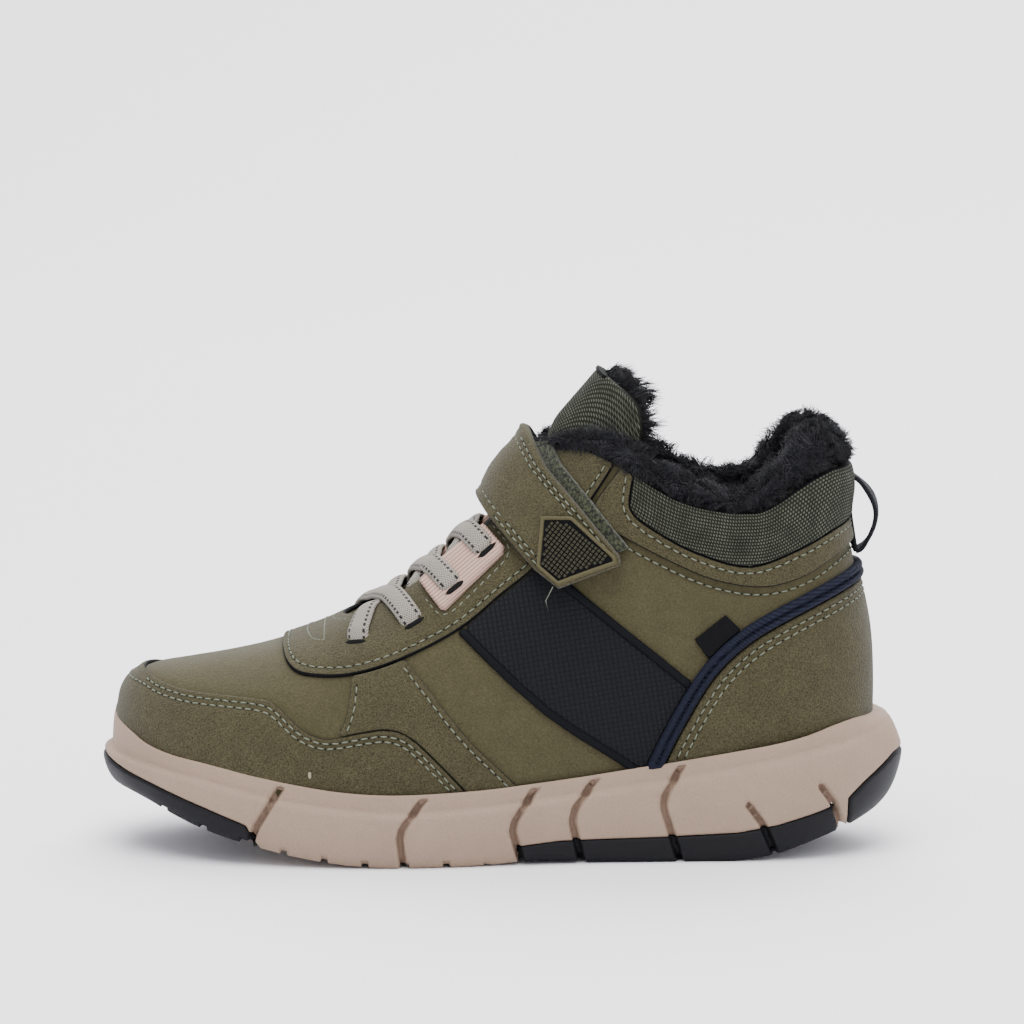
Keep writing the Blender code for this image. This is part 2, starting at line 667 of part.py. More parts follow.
def make_upper(paints, cuts):
    """The hollow upper."""
    upper = paint(form("upper", 0.0), paints["quarter"])
    carve(upper, form_tool(-WALL))
    for name in ("collar", "throat", "underside"):
        carve(upper, cuts[name])


def make_insole(paints):
    """The insole, on the turned-in edge of the upper."""
    gap = WALL + CLEARANCE
    insole = paint(form("insole", -gap), paints["pile"])
    line = foot_line(gap + INSOLE)
    outline = line + [Vector((line[-1].x, HEIGHT + MARGIN)), Vector((line[0].x, HEIGHT + MARGIN))]
    carve(insole, tool(prism("above_insole", outline, -WIDTH, WIDTH)))


def make_tongue(paints):
    """The tongue under the throat, and the pile on the back of its top."""
    outline = side_view(TONGUE_FRONT)
    outer = WALL + CLEARANCE
    half = TONGUE_WIDTH / 2
    tongue = prism("tongue", outline, SIDE_SHIFT - half, SIDE_SHIFT + half)
    paint(tongue, paints["mesh"])
    carve(tongue, form_tool(-outer), "INTERSECT")
    carve(tongue, form_tool(-outer - TONGUE))
    pile_outer = outer + TONGUE + CLEARANCE
    low_x, low_z = TONGUE_PILE_LOW
    top = [point for point in outline if point.y > up(low_z)]
    top_outline = [Vector((along(low_x), up(low_z)))] + top[1:]
    half -= TONGUE_PILE_INSET
    pile = prism("tongue_pile", top_outline, SIDE_SHIFT - half, SIDE_SHIFT + half)
    paint(pile, paints["pile"])
    carve(pile, form_tool(-pile_outer), "INTERSECT")
    carve(pile, form_tool(-pile_outer - TONGUE_PILE))


def overlay(name, outline, reach, layer, thickness, finish, cutters=()):
    """A panel cut between two larger forms, over a side-view outline."""
    piece = paint(prism(name, outline, *reach), finish)
    carve(piece, form_tool(layer + thickness), "INTERSECT")
    carve(piece, form_tool(layer))
    for cutter in cutters:
        carve(piece, cutter)
    return piece


def make_panels(paints, cuts):
    """The layers sewn on the upper."""
    rim = rim_line()
    floor = [Vector((rim[-1].x, -MARGIN)), Vector((rim[0].x, -MARGIN))]
    raised = [Vector((point.x, point.y + CLEARANCE)) for point in rim]
    below_rim = tool(prism("below_rim", raised + floor, *BOTH))
    gap = CLEARANCE

    guard_line = side_view(GUARD_LINE)
    guard = guard_line + [Vector((guard_line[-1].x, 0.0)), Vector((guard_line[0].x, 0.0))]
    overlay("toe_guard", guard, BOTH, gap, SUEDE, paints["suede"], (below_rim,))
    clear_guard = tool(prism("clear_guard", grown(guard, gap), *BOTH))

    eyestay_line = side_view(EYESTAY_LINE)
    top = HEIGHT + MARGIN
    eyestay = eyestay_line + [Vector((eyestay_line[-1].x, top)),
                              Vector((along(EYESTAY_TOP), top))]
    overlay("eyestay", eyestay, BOTH, gap, SUEDE, paints["suede"],
            (cuts["throat"], cuts["collar"]))
    clear_eyestay = tool(prism("clear_eyestay", grown(eyestay, gap), *BOTH))

    piping_line = side_view(PIPING_LINE)
    piping = strip_outline(piping_line, PIPING)
    overlay("heel_piping", piping, BOTH, gap, PIPING_RISE, paints["piping"], (below_rim,))
    clear_piping = tool(prism("clear_piping", grown(piping, gap), *BOTH))
    below_piping = shifted(piping_line, -PIPING / 2 - gap)
    counter = below_piping + [Vector((below_piping[-1].x + MARGIN, below_piping[-1].y)),
                              Vector((below_piping[-1].x + MARGIN, 0.0)),
                              Vector((below_piping[0].x, 0.0))]
    overlay("heel_counter", counter, BOTH, gap, SUEDE, paints["suede"], (below_rim,))

    front = side_view(BAND_FRONT)
    band = side_view(BAND_LOW) + side_view(BAND_TOP)[::-1] + front
    panel_line = shifted(side_view(BAND_TOP), gap)
    panel_top = up(PAD_TOP)
    panel = panel_line + [Vector((panel_line[-1].x, panel_top)),
                          Vector((panel_line[0].x, panel_top))]
    for side, reach in SIDES:
        overlay(f"quarter_patch_{side}", side_view(QUARTER), reach, gap, SUEDE,
                paints["suede"], (below_rim, clear_guard, clear_eyestay))
        overlay(f"dark_panel_{side}", side_view(DARK_PANEL), reach, gap, MESH_CLOTH,
                paints["cloth"], (below_rim, clear_eyestay, clear_piping, cuts["counter"]))
        overlay(f"collar_band_{side}", band, reach, gap, SUEDE, paints["suede"],
                (clear_eyestay, cuts["collar"], cuts["heel_slot"]))
        overlay(f"collar_pad_{side}", panel, reach, gap, COLLAR_PAD, paints["mesh"],
                (clear_eyestay, cuts["collar"], cuts["heel_slot"]))
        overlay(f"lace_holder_{side}", side_view(HOLDER_OUTLINE), reach,
                SUEDE + 2 * gap, LACE_HOLDER, paints["holder"], (cuts["throat"],))
    overlay("size_tag", side_view(TAG_OUTLINE), SIDES[0][1], gap, TAG, paints["webbing"],
            (clear_piping,))


def make_strap(paints, cuts):
    """The strap over the instep, its moulded end and the tape that it closes on."""
    landing = SUEDE + 2 * CLEARANCE
    strap_layer = landing + LANDING + CLEARANCE
    outline = side_view(STRAP_OUTLINE)
    overlay("strap_landing", side_view(LANDING_OUTLINE), SIDES[0][1], landing, LANDING,
            paints["pile"], (cuts["throat"], cuts["collar"]))
    anchor = tool(prism("strap_anchor_end", side_view(STRAP_ANCHOR), SIDE_SHIFT + STRAP_ANCHOR_SIDE,
                        WIDTH))
    overlay("strap", outline, BOTH, strap_layer, STRAP, paints["suede"], (anchor,))
    overlay("strap_patch", side_view(STRAP_PATCH), SIDES[0][1],
            strap_layer + STRAP + CLEARANCE, STRAP_END, paints["patch"])


def heel_slot_tool():
    """The place of the pull loop's tape on the back of the heel."""
    half = PULL_WIDTH / 2 + CLEARANCE
    low = (along(HEEL_SLOT_FRONT), SIDE_SHIFT - half, up(PULL_LOW) - PULL_SLOT_DROP)
    return tool(box("heel_slot", low, (along(HEEL_SLOT_BACK), SIDE_SHIFT + half, HEIGHT)))


def counter_tool():
    """The side of the upper behind the piping."""
    line = side_view(PIPING_LINE)
    outline = line + [Vector((line[-1].x + MARGIN, line[-1].y)),
                      Vector((line[-1].x + MARGIN, -MARGIN)), Vector((line[0].x, -MARGIN))]
    return tool(prism("behind_piping", outline, *BOTH))


def make_pull_loop(paints):
    """A closed loop of tape that stands off the back of the heel."""
    low_ring = heel_ring(up(PULL_LOW))
    high_ring = heel_ring(up(PULL_HIGH))
    inner_run = []
    outer_run = []
    for step in range(PULL_STEPS + 1):
        part = step / PULL_STEPS
        ring = low_ring + (high_ring - low_ring) * part
        bow = PULL + (PULL_BOW - PULL) * math.sin(math.pi * part) ** PULL_FULLNESS
        near = surface(ring, 0, CLEARANCE + PULL / 2)
        far = surface(ring, 0, CLEARANCE + PULL / 2 + bow)
        inner_run.append(Vector((near.x, near.z)))
        outer_run.append(Vector((far.x, far.z)))
    path = inner_run + outer_run[::-1]
    outside = grown(path, PULL / 2)
    inside = grown(path, -PULL / 2)
    mesh = bmesh.new()
    low, high = SIDE_SHIFT - PULL_WIDTH / 2, SIDE_SHIFT + PULL_WIDTH / 2
    rings = [[mesh.verts.new((point.x, y, point.y)) for point in line]
             for line, y in ((outside, low), (outside, high), (inside, high), (inside, low))]
    total = len(path)
    for number, ring in enumerate(rings):
        following_ring = rings[(number + 1) % len(rings)]
        for index in range(total):
            following = (index + 1) % total
            mesh.faces.new((ring[index], ring[following],
                            following_ring[following], following_ring[index]))
    paint(add_object("pull_loop", mesh), paints["webbing"])


def heel_ring(height):
    """Broken row number where the back of the heel reaches a height."""
    start = len(GRID) // 2
    for ring in range(start, len(GRID) - 1):
        low, high = GRID[ring][0].z, GRID[ring + 1][0].z
        if low <= height < high:
            return ring + (height - low) / (high - low)
    return len(GRID) - 1.0


# Pile collar

SETTLE_ROUNDS = 12       # rounds that bring a place on the upper to the collar's edge
SETTLE_STEP = 0.12       # rows moved for each millimetre it is still away


def height_on(line, x):
    """Height of a side-view line at a place along the length."""
    for start, end in zip(line, line[1:]):
        if start.x <= x <= end.x:
            return start.y + (end.y - start.y) * (x - start.x) / (end.x - start.x)
    return line[0].y if x < line[0].x else line[-1].y


def collar_path(count):
    """Places round the collar edge, from the outer front to the inner front."""
    collar = side_view(COLLAR_LINE)
    places = []
    half = SECTION_POINTS // 2
    for step in range(count + 1):
        part = step / count
        spot = half * CUFF_REACH * (1 - 2 * part)
        ring = heel_ring(up(PULL_HIGH))
        for _ in range(SETTLE_ROUNDS):
            point = surface(ring, spot, 0.0)
            ring += (height_on(collar, point.x) - point.z) * SETTLE_STEP
        places.append((ring, spot))
    return places


def make_cuff(paints):
    """The roll of deep pile on the edge of the collar, with its tufts."""
    collar, pile_top = side_view(COLLAR_LINE), side_view(PILE_TOP)
    rings = []
    steps = LOCKS * 2
    for number, (ring, spot) in enumerate(collar_path(steps)):
        edge = surface(ring, spot, 0.0)
        outward = surface(ring, spot, 1.0) - edge
        outward.z = 0.0
        outward.normalize()
        base = height_on(collar, edge.x) + CLEARANCE
        tall = height_on(pile_top, edge.x) - base
        end = min(number, steps - number) / CUFF_ROUNDING
        swell = min(1.0, math.sqrt(0.25 + end))
        to_end = (CUFF_REACH - abs(spot) * 2 / SECTION_POINTS) / CUFF_THINNING
        inner = CUFF_IN * (CUFF_END + (1 - CUFF_END) * min(to_end, 1.0))
        middle = edge + outward * (CUFF_OUT - inner) / 2
        middle.z = base + tall / 2
        tuft = LOCK_DEPTH if number % 2 else 0.0
        loop = []
        for step in range(CUFF_SIDES):
            angle = 2 * math.pi * step / CUFF_SIDES
            lean = 1.0 if (step + number // 2) % 2 else LOCK_LOW
            wide = (CUFF_OUT + inner) / 2 - tuft * lean
            high = tall / 2 - tuft * lean
            loop.append(middle + outward * (wide * swell * math.cos(angle))
                        + Vector((0, 0, high * swell * math.sin(angle))))
        rings.append(loop)
    paint(add_object("pile_cuff", loft(rings)), paints["pile"])


# Laces

def ribbon(name, start, end, rise):
    """A flat lace over the instep between two places on the surface."""
    layer = SUEDE + LACE_HOLDER + 2 * CLEARANCE + LACE_LIFT + LACE / 2
    ring_run, spot_run = end[0] - start[0], end[1] - start[1]
    beside = 0.5 / LACE_STEPS
    rings = []
    for step in range(LACE_STEPS + 1):
        part = step / LACE_STEPS
        lift = layer + rise * math.sin(math.pi * part)
        before, middle, after = (
            surface(start[0] + ring_run * place, start[1] + spot_run * place, lift)
            for place in (part - beside, part, part + beside))
        above = surface(start[0] + ring_run * part, start[1] + spot_run * part, lift + 1.0)
        normal = (above - middle).normalized()
        wide = (after - before).cross(normal).normalized() * (LACE_WIDTH / 2)
        thick = normal * (LACE / 2)
        rings.append([middle - wide - thick, middle + wide - thick,
                      middle + wide + thick, middle - wide + thick])
    return add_object(name, loft(rings))


def make_laces(paints):
    """Elastic laces: one bar at the front, then three crossings, joined where they meet."""
    outer = [nearest_place(along(x), up(z), True) for x, z in EYELETS]
    inner = [(ring, SECTION_POINTS - spot) for ring, spot in outer]
    lace = paint(ribbon("lace", outer[0], inner[0], 0.0), paints["lace"])
    for row in range(len(EYELETS) - 1):
        runs = ((outer[row], inner[row + 1], 0.0),
                (outer[row + 1], inner[row], LACE_CROSSING_RISE))
        for number, (start, end, rise) in enumerate(runs):
            carve(lace, tool(ribbon(f"lace_run_{row}_{number}", start, end, rise)), "UNION")


def main():
    for item in list(bpy.data.objects):
        bpy.data.objects.remove(item, do_unlink=True)
    paints = {
        "quarter": material("smooth_nubuck", "6A674B", 0.8),
        "suede": material("nubuck", "5C553E", 0.9),
        "cloth": material("ripstop", "25262B", 0.8),
        "mesh": material("woven_mesh", "34372A", 0.85),
        "midsole": material("midsole_foam", "B4A598", 0.75),
        "rubber": material("tread_rubber", "242428", 0.6),
        "piping": material("seam_tape", "2D3149", 0.7),
        "pile": material("pile", "2D2D32", 1.0),
        "holder": material("ribbed_tape", "B69C8E", 0.8),
        "lace": material("elastic_lace", "A9A39B", 0.85),
        "webbing": material("webbing", "202126", 0.8),
        "patch": material("moulded_patch", "3E3E30", 0.7),
    }
    cuts = {
        "collar": collar_tool(),
        "throat": throat_tool(),
        "underside": underside_tool(),
        "heel_slot": heel_slot_tool(),
        "counter": counter_tool(),
    }
    make_sole(paints)
    make_upper(paints, cuts)
    make_insole(paints)
    make_tongue(paints)
    make_panels(paints, cuts)
    make_strap(paints, cuts)
    make_pull_loop(paints)
    make_cuff(paints)
    make_laces(paints)


main()
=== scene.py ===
"""A child's left mid boot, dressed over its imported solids.

X runs from the toe to the heel, Y from the outer side of the foot to the inner side and Z
up. Sizes are in millimetres until a mesh is finished. The tables give shares in hundredths:
of the length counted from the toe tip, of the height and of the width.
"""
import math
import random

import bpy
import numpy as np
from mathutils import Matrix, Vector


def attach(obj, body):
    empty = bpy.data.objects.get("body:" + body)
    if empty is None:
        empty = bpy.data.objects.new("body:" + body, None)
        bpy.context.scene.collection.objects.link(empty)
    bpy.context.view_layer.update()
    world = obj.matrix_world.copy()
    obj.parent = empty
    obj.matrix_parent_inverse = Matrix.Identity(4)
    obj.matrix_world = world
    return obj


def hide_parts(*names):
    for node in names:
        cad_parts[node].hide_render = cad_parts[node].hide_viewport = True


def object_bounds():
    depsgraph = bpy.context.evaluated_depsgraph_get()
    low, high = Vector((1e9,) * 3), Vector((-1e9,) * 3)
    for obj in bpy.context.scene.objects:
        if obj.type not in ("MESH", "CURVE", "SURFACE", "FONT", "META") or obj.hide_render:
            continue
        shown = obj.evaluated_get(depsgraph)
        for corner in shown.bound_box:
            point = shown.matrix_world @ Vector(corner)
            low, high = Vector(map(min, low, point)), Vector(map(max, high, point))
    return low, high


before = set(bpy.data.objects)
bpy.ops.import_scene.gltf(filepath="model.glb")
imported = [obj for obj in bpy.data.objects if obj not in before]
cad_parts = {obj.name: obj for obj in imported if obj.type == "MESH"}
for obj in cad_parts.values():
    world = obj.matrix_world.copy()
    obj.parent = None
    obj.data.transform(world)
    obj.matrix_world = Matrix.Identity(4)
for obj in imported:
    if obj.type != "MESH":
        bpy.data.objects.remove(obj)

bl_info = {
    "name": "Child's mid boot",
    "version": (1, 0, 0),
    "blender": (4, 5, 0),
    "location": "View3D > Sidebar > Boot",
    "description": "Models a pile lined mid boot over its packed solids",
    "category": "Object",
}

MM = 0.001
BOX_AT_LOAD = [[float(value) for value in corner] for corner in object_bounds()]
LOW, HIGH = (np.array(corner) / MM for corner in BOX_AT_LOAD)
LENGTH = HIGH[0] - LOW[0]
HEIGHT = (HIGH[2] - LOW[2]) / 1.002      # the tongue's tip is at 100.2 hundredths
WIDTH = (HIGH[1] - LOW[1]) / 0.987       # the sole is 98.7 hundredths wide

# Layers of the real boot, in millimetres
WALL = 2.6
CLEARANCE = 0.3
SUEDE = 1.1
RIPSTOP = 0.6
COLLAR_PAD = 1.6
PIPING = 4.4
PIPING_RISE = 2.2
TONGUE = 4.6
TONGUE_PILE = 4.5
TONGUE_WIDTH = 42.0
THROAT_WIDTH = 25.0
STRAP = 2.6
STRAP_ROWS = (1.4, 2.8)                  # rows of stitches, from the strap's edge
STRAP_BULGE = 1.6                        # how far it stands up between its edges
LANDING = 1.1
PATCH = 1.2
LACE_HOLDER = 2.0
LACE_WIDTH = 6.8
LACE = 1.2
LACE_TUCK = 0.03                         # share of a band's run that dips into its slot
LACE_DIVE = 0.08                         # share over which it bends down to the slot
LACE_FLOOR = -0.6                        # where its hidden end lies
RIB_PITCH = 0.85
RIB_WAY = (-0.64, 0.0, 0.77)             # across the ribs of the lace holders
SQUARE_PITCH = 1.4                       # thick threads of the ripstop
SEAM_GAP = 0.15                          # under a sewn panel
TILE_PITCH = 1.15                        # squares of the strap's patch
TILE_ACROSS = np.array(((0.80, 0.60), (-0.60, 0.80)))     # along, up of their two ways
TILE_FOOT = 0.47
TILE_TOP = 0.42
TAG = 0.8
BORDER = 1.15                            # half width of the ripstop's welded edges
PULL_WIDTH = 10.0
PULL = 1.2
PULL_BOW = 7.8
PULL_LOW = 61.4
PULL_HIGH = 77.1

# Pile: hairs of a tuft, tufts on the tongue and hairs of each, thickness of a hair
TUFT_HAIRS = 14
BACK_TUFTS = 700
BACK_HAIRS = 2
RIM_TUFTS = 800
RIM_HAIRS = 7
HAIR = 0.2
TONGUE_HAIR = 0.24
ROLL_RINGS = 160
ROLL_SIDES = 14
ROLL_OUT = 1.4                           # reach of the pile's roll past the collar

# The stage, in metres, and the floor's path in millimetres
CAMERA_PLACE = (0.003, -1.300, 0.2718)
CAMERA_TILT = 82.35
CAMERA_LENS = 158.8
CAMERA_SENSOR = 36.0
LAMP_TARGET = Vector((0.0, 0.0, 0.05))
LAMPS = (("key", (-0.1, -0.5, 1.7), 1.3, 46.0), ("fill", (1.4, -1.6, 0.9), 1.8, 10.0),
         ("back", (0.3, 1.6, 1.9), 2.4, 105.0))
ROOM_LIGHT = (0.93, 0.94, 1.0, 1.0)
ROOM_STRENGTH = 1.05
FLOOR_HALF = 5000.0
FLOOR_NEAR = -4000.0
FLOOR_FAR = 1500.0
FLOOR_CURVE = 900.0
FLOOR_STEPS = 12
WALL_TOP = 4500.0

# top x, top z, foot x, foot z, centre, outer half, inner half, height of the widest
# place as a share of the loop, power of the curve above it, power of the curve below it
SECTIONS = (
    (2.2, 28.9, 2.2, 18.6, 4.7, 4.7, 4.7, 0.50, 2.2, 2.2),
    (2.7, 32.4, 2.7, 15.7, 4.7, 11.9, 11.6, 0.47, 2.4, 2.8),
    (4.2, 35.4, 4.2, 14.1, 4.2, 20.5, 19.3, 0.43, 2.5, 3.6),
    (6.9, 37.3, 6.9, 13.1, 3.4, 29.0, 27.2, 0.38, 2.5, 4.2),
    (10.9, 38.4, 10.9, 12.0, 2.2, 36.4, 34.4, 0.35, 2.5, 4.8),
    (16.1, 39.9, 16.1, 11.0, 1.2, 41.6, 39.5, 0.34, 2.4, 5.0),
    (21.7, 42.1, 21.7, 10.0, 0.3, 44.2, 41.9, 0.33, 2.4, 5.0),
    (28.5, 46.1, 29.4, 9.1, 0.0, 45.3, 42.1, 0.30, 2.3, 5.0),
    (34.5, 51.4, 38.4, 9.1, 0.0, 45.6, 40.6, 0.29, 2.2, 5.0),
    (40.1, 58.1, 47.4, 9.9, 0.0, 43.3, 37.2, 0.28, 2.1, 5.0),
    (45.7, 66.3, 58.2, 11.4, 0.0, 39.5, 34.0, 0.29, 2.1, 5.0),
    (49.6, 73.4, 68.5, 13.0, 0.0, 37.0, 33.0, 0.32, 2.1, 4.8),
    (52.8, 80.2, 80.5, 14.1, 0.0, 36.0, 33.6, 0.37, 2.1, 4.0),
    (54.3, 85.6, 89.5, 14.9, 0.0, 35.3, 34.0, 0.42, 2.2, 3.2),
    (55.6, 89.9, 94.9, 19.3, 0.0, 35.1, 34.2, 0.47, 2.2, 2.7),
    (57.3, 93.4, 96.0, 31.4, 0.0, 35.0, 34.2, 0.50, 2.2, 2.4),
    (58.9, 96.7, 95.5, 46.4, 0.0, 34.5, 34.0, 0.50, 2.2, 2.3),
    (60.3, 99.6, 93.8, 60.7, 0.0, 34.1, 33.7, 0.50, 2.2, 2.3),
    (61.9, 102.6, 92.6, 75.0, 0.0, 34.2, 33.8, 0.50, 2.2, 2.3),
    (63.3, 105.1, 92.7, 89.3, 0.0, 34.7, 34.3, 0.50, 2.2, 2.3),
    (64.6, 107.4, 93.3, 101.4, 0.0, 35.1, 34.8, 0.50, 2.2, 2.3),
)

# x, outer half, inner half, underside z, step z, rim z, then how far the underside,
# the step and the rim lie inside the widest outline
SOLE = (
    (0.0, -2.3, 7.0, 12.5, 20.7, 27.3, 6.4, 1.6, 3.7),
    (0.8, 9.3, 18.0, 12.4, 20.4, 26.7, 6.0, 1.5, 3.7),
    (2.8, 21.2, 28.6, 12.3, 20.0, 25.3, 5.8, 1.4, 3.3),
    (5.4, 29.5, 35.3, 11.4, 19.5, 23.4, 5.3, 1.3, 2.9),
    (8.8, 36.7, 40.6, 9.4, 18.6, 22.0, 4.7, 1.2, 2.8),
    (13.1, 42.3, 44.1, 6.9, 17.4, 20.9, 4.2, 1.0, 2.7),
    (18.2, 46.4, 46.4, 4.6, 15.4, 19.3, 4.0, 1.0, 2.7),
    (24.2, 49.3, 47.7, 2.3, 13.5, 17.3, 3.7, 1.0, 2.7),
    (30.3, 50.8, 47.7, 0.7, 12.2, 15.8, 3.7, 1.0, 2.7),
    (36.3, 51.0, 46.3, 0.0, 11.4, 15.2, 3.7, 1.0, 2.7),
    (42.3, 49.8, 43.7, 0.0, 11.6, 15.4, 3.7, 1.0, 2.7),
    (48.3, 47.2, 40.7, 0.2, 12.3, 15.9, 3.7, 1.0, 2.7),
    (54.3, 44.4, 38.1, 0.8, 13.4, 16.9, 3.7, 1.0, 2.7),
    (60.3, 42.1, 36.7, 0.4, 14.7, 18.1, 3.7, 1.0, 2.7),
    (66.3, 40.7, 36.5, 0.0, 16.1, 19.6, 3.7, 1.0, 2.7),
    (72.3, 39.9, 37.0, 0.0, 17.6, 21.1, 3.7, 1.0, 2.6),
    (78.3, 39.5, 37.4, 0.0, 19.4, 22.8, 4.0, 1.0, 2.6),
    (83.5, 38.8, 37.4, 1.2, 21.1, 24.3, 4.4, 1.2, 2.6),
    (87.8, 37.0, 36.3, 3.2, 22.7, 25.9, 5.1, 1.4, 2.8),
    (91.6, 33.3, 33.0, 5.0, 23.9, 27.7, 6.0, 1.7, 3.5),
    (94.6, 28.4, 28.3, 6.1, 24.9, 28.5, 7.4, 2.4, 4.9),
    (97.2, 21.4, 21.4, 6.7, 25.9, 28.5, 9.1, 3.2, 7.2),
    (99.1, 12.8, 12.8, 6.9, 26.6, 28.4, 10.2, 4.0, 9.0),
    (100.0, 4.7, 4.7, 6.9, 26.8, 28.4, 10.7, 4.3, 9.8),
)

# Seams and edges as they run in side view: along, up
COLLAR_LINE = ((50.0, 78.0), (53.5, 82.0), (58.6, 84.0), (62.0, 83.1), (66.7, 79.1),
               (71.9, 74.3), (77.0, 72.3), (79.6, 72.0), (82.2, 72.6), (86.7, 77.3),
               (89.1, 79.4), (91.2, 80.1), (97.0, 80.1))
GUARD_LINE = ((-4.0, 36.6), (4.7, 36.6), (8.0, 35.2), (11.9, 34.2), (19.4, 33.7),
              (22.2, 32.9), (25.5, 28.4), (27.3, 26.9), (29.1, 26.4), (33.0, 27.6),
              (36.2, 28.2), (39.0, 26.4), (42.2, 21.4), (46.2, 14.3))
EYESTAY_LINE = ((22.3, 47.5), (22.7, 42.9), (24.0, 39.5), (26.4, 38.2), (31.5, 38.6),
                (37.6, 41.7), (44.8, 47.7), (50.0, 54.6), (54.1, 60.1), (57.7, 67.1),
                (61.2, 74.3), (65.0, 84.5))
QUARTER_FRONT = ((31.5, 42.0), (31.7, 36.7), (30.9, 29.6), (28.5, 24.0))
QUARTER_REAR = ((52.6, 12.0), (52.6, 15.0), (46.2, 25.6), (41.3, 35.7), (36.7, 45.0))
DARK_FRONT = ((43.0, 52.0), (45.2, 48.4), (55.9, 31.9), (66.3, 20.3), (70.0, 14.0))
DARK_REAR = ((75.0, 36.0), (73.2, 35.7), (68.1, 42.4), (57.1, 57.0), (54.0, 62.0))
PIPING_LINE = ((67.0, 13.0), (68.8, 20.0), (71.8, 29.9), (75.6, 39.9), (80.3, 47.1),
               (86.4, 52.7), (93.4, 57.6), (100.0, 60.0))
BAND_LOW = ((60.3, 70.2), (62.6, 68.6), (65.7, 66.0), (71.8, 61.0), (76.7, 57.9),
            (82.1, 56.7), (87.0, 58.6), (91.5, 62.7), (97.0, 67.5))
BAND_TOP = ((66.9, 84.0), (65.9, 75.8), (66.1, 71.7), (69.3, 67.7), (74.2, 63.6),
            (80.3, 61.0), (86.4, 64.3), (91.2, 68.0), (97.0, 71.0))
BAND_FRONT = ((66.0, 84.0), (61.9, 74.5))
STRAP_FRONT = ((47.4, 73.4), (49.0, 69.4), (53.9, 60.4), (56.8, 56.9))
STRAP_REAR = ((64.4, 62.1), (64.3, 64.0), (59.9, 73.0), (56.0, 80.8), (53.4, 90.5),
              (45.8, 79.5))
PATCH_OUTLINE = ((55.3, 70.4), (59.1, 71.4), (64.0, 63.9), (64.1, 62.4), (56.8, 57.3),
                 (54.3, 60.6))
STRAP_ANCHOR = ((60.5, 85.0), (57.0, 66.0), (52.0, 56.0), (70.0, 50.0), (75.0, 80.0))
LANDING_OUTLINE = ((52.0, 82.0), (55.6, 89.0), (59.0, 81.0), (62.8, 73.6), (66.4, 65.1),
                   (64.2, 63.5), (57.0, 59.0), (54.0, 62.5), (51.0, 71.0))
HOLDER_OUTLINE = ((40.3, 55.4), (42.7, 51.1), (43.3, 51.0), (50.4, 62.2), (50.6, 63.6),
                  (48.4, 67.2), (47.2, 66.0))
TAG_OUTLINE = ((73.6, 46.0), (77.4, 51.0), (79.7, 47.3), (75.6, 41.4))
TONGUE_OUTLINE = ((26.0, 40.0), (27.0, 55.0), (38.0, 76.0), (50.0, 96.0), (59.8, 104.5),
                  (61.2, 100.8), (65.0, 95.0), (66.1, 91.0), (66.2, 85.0), (63.8, 72.0),
                  (46.0, 46.0), (36.0, 38.0))
PILE_TOP = ((55.0, 86.6), (58.6, 88.4), (63.2, 88.3), (66.9, 85.4), (71.8, 80.8),
            (76.6, 77.6), (79.6, 77.6), (83.3, 82.0), (86.3, 88.4), (88.2, 90.0),
            (90.5, 89.8), (92.5, 87.4))
EYELETS = ((32.4, 44.8), (39.2, 48.8), (44.5, 55.0), (48.6, 62.4))
SIDE_GROOVES = (
    ((23.1, 16.7), (20.0, 8.5), (18.5, 2.0)),
    ((40.7, 14.6), (37.9, 8.4), (37.6, 6.4), (38.2, -2.0)),
    ((54.9, 17.7), (51.7, 9.5), (51.4, 7.4), (52.9, -2.0)),
    ((62.0, 18.7), (59.0, 11.5), (58.7, 8.9), (60.2, -2.0)),
    ((72.7, 21.9), (69.9, 13.6), (69.9, 11.5), (72.4, -2.0)),
    ((80.3, 12.1), (82.1, 8.0), (83.6, 2.0)),
    ((89.4, 15.6), (90.9, 12.1), (92.2, 6.0)),
)
TOE_RUBBER = ((-3.0, 20.5), (1.5, 18.4), (6.9, 15.7), (13.0, 12.1), (18.6, 8.6),
              (20.4, 3.0), (20.4, -3.0), (-3.0, -3.0))
HEEL_RUBBER = ((52.2, -3.0), (52.2, 4.0), (57.2, 4.9), (69.4, 5.3), (79.2, 6.1),
               (84.1, 7.6), (89.0, 9.9), (91.4, 11.3), (91.8, -3.0))
REAR_RUBBER = ((93.0, -3.0), (93.0, 12.5), (95.0, 15.5), (97.5, 18.5), (99.0, 20.2),
               (103.0, 20.6), (103.0, -3.0))


# Numbers and curves

def along(share):
    """Place along X of a share of the length, counted from the toe tip."""
    return (share / 100 - 0.5) * LENGTH


def up(share):
    """Height of a share of the height."""
    return share / 100 * HEIGHT


def across(share):
    """Width of a share of the width."""
    return share / 100 * WIDTH


SIDE_SHIFT = across((max(row[1] for row in SOLE) - max(row[2] for row in SOLE)) / 2)


def smooth_rows(rows, steps):
    """The rows of a table with others between them on smooth curves."""
    table = np.array(rows, dtype=float)
    padded = np.vstack((table[:1], table, table[-1:]))
    filled = []
    for index in range(len(table) - 1):
        a, b, c, d = padded[index:index + 4]
        for step in range(steps):
            t = step / steps
            filled.append(0.5 * (2 * b + (c - a) * t + (2 * a - 5 * b + 4 * c - d) * t * t
                                 + (3 * b - a - 3 * c + d) * t ** 3))
    filled.append(table[-1])
    return np.array(filled)


def side_view(points, steps=1):
    """A line in shares as a line in millimetres, curved if steps is more than one."""
    line = smooth_rows(points, steps)
    return np.column_stack((along(line[:, 0]), up(line[:, 1])))


def run_lengths(points):
    """Length of a line up to each of its points."""
    steps = np.linalg.norm(np.diff(points, axis=0), axis=1)
    return np.concatenate(([0.0], np.cumsum(steps)))


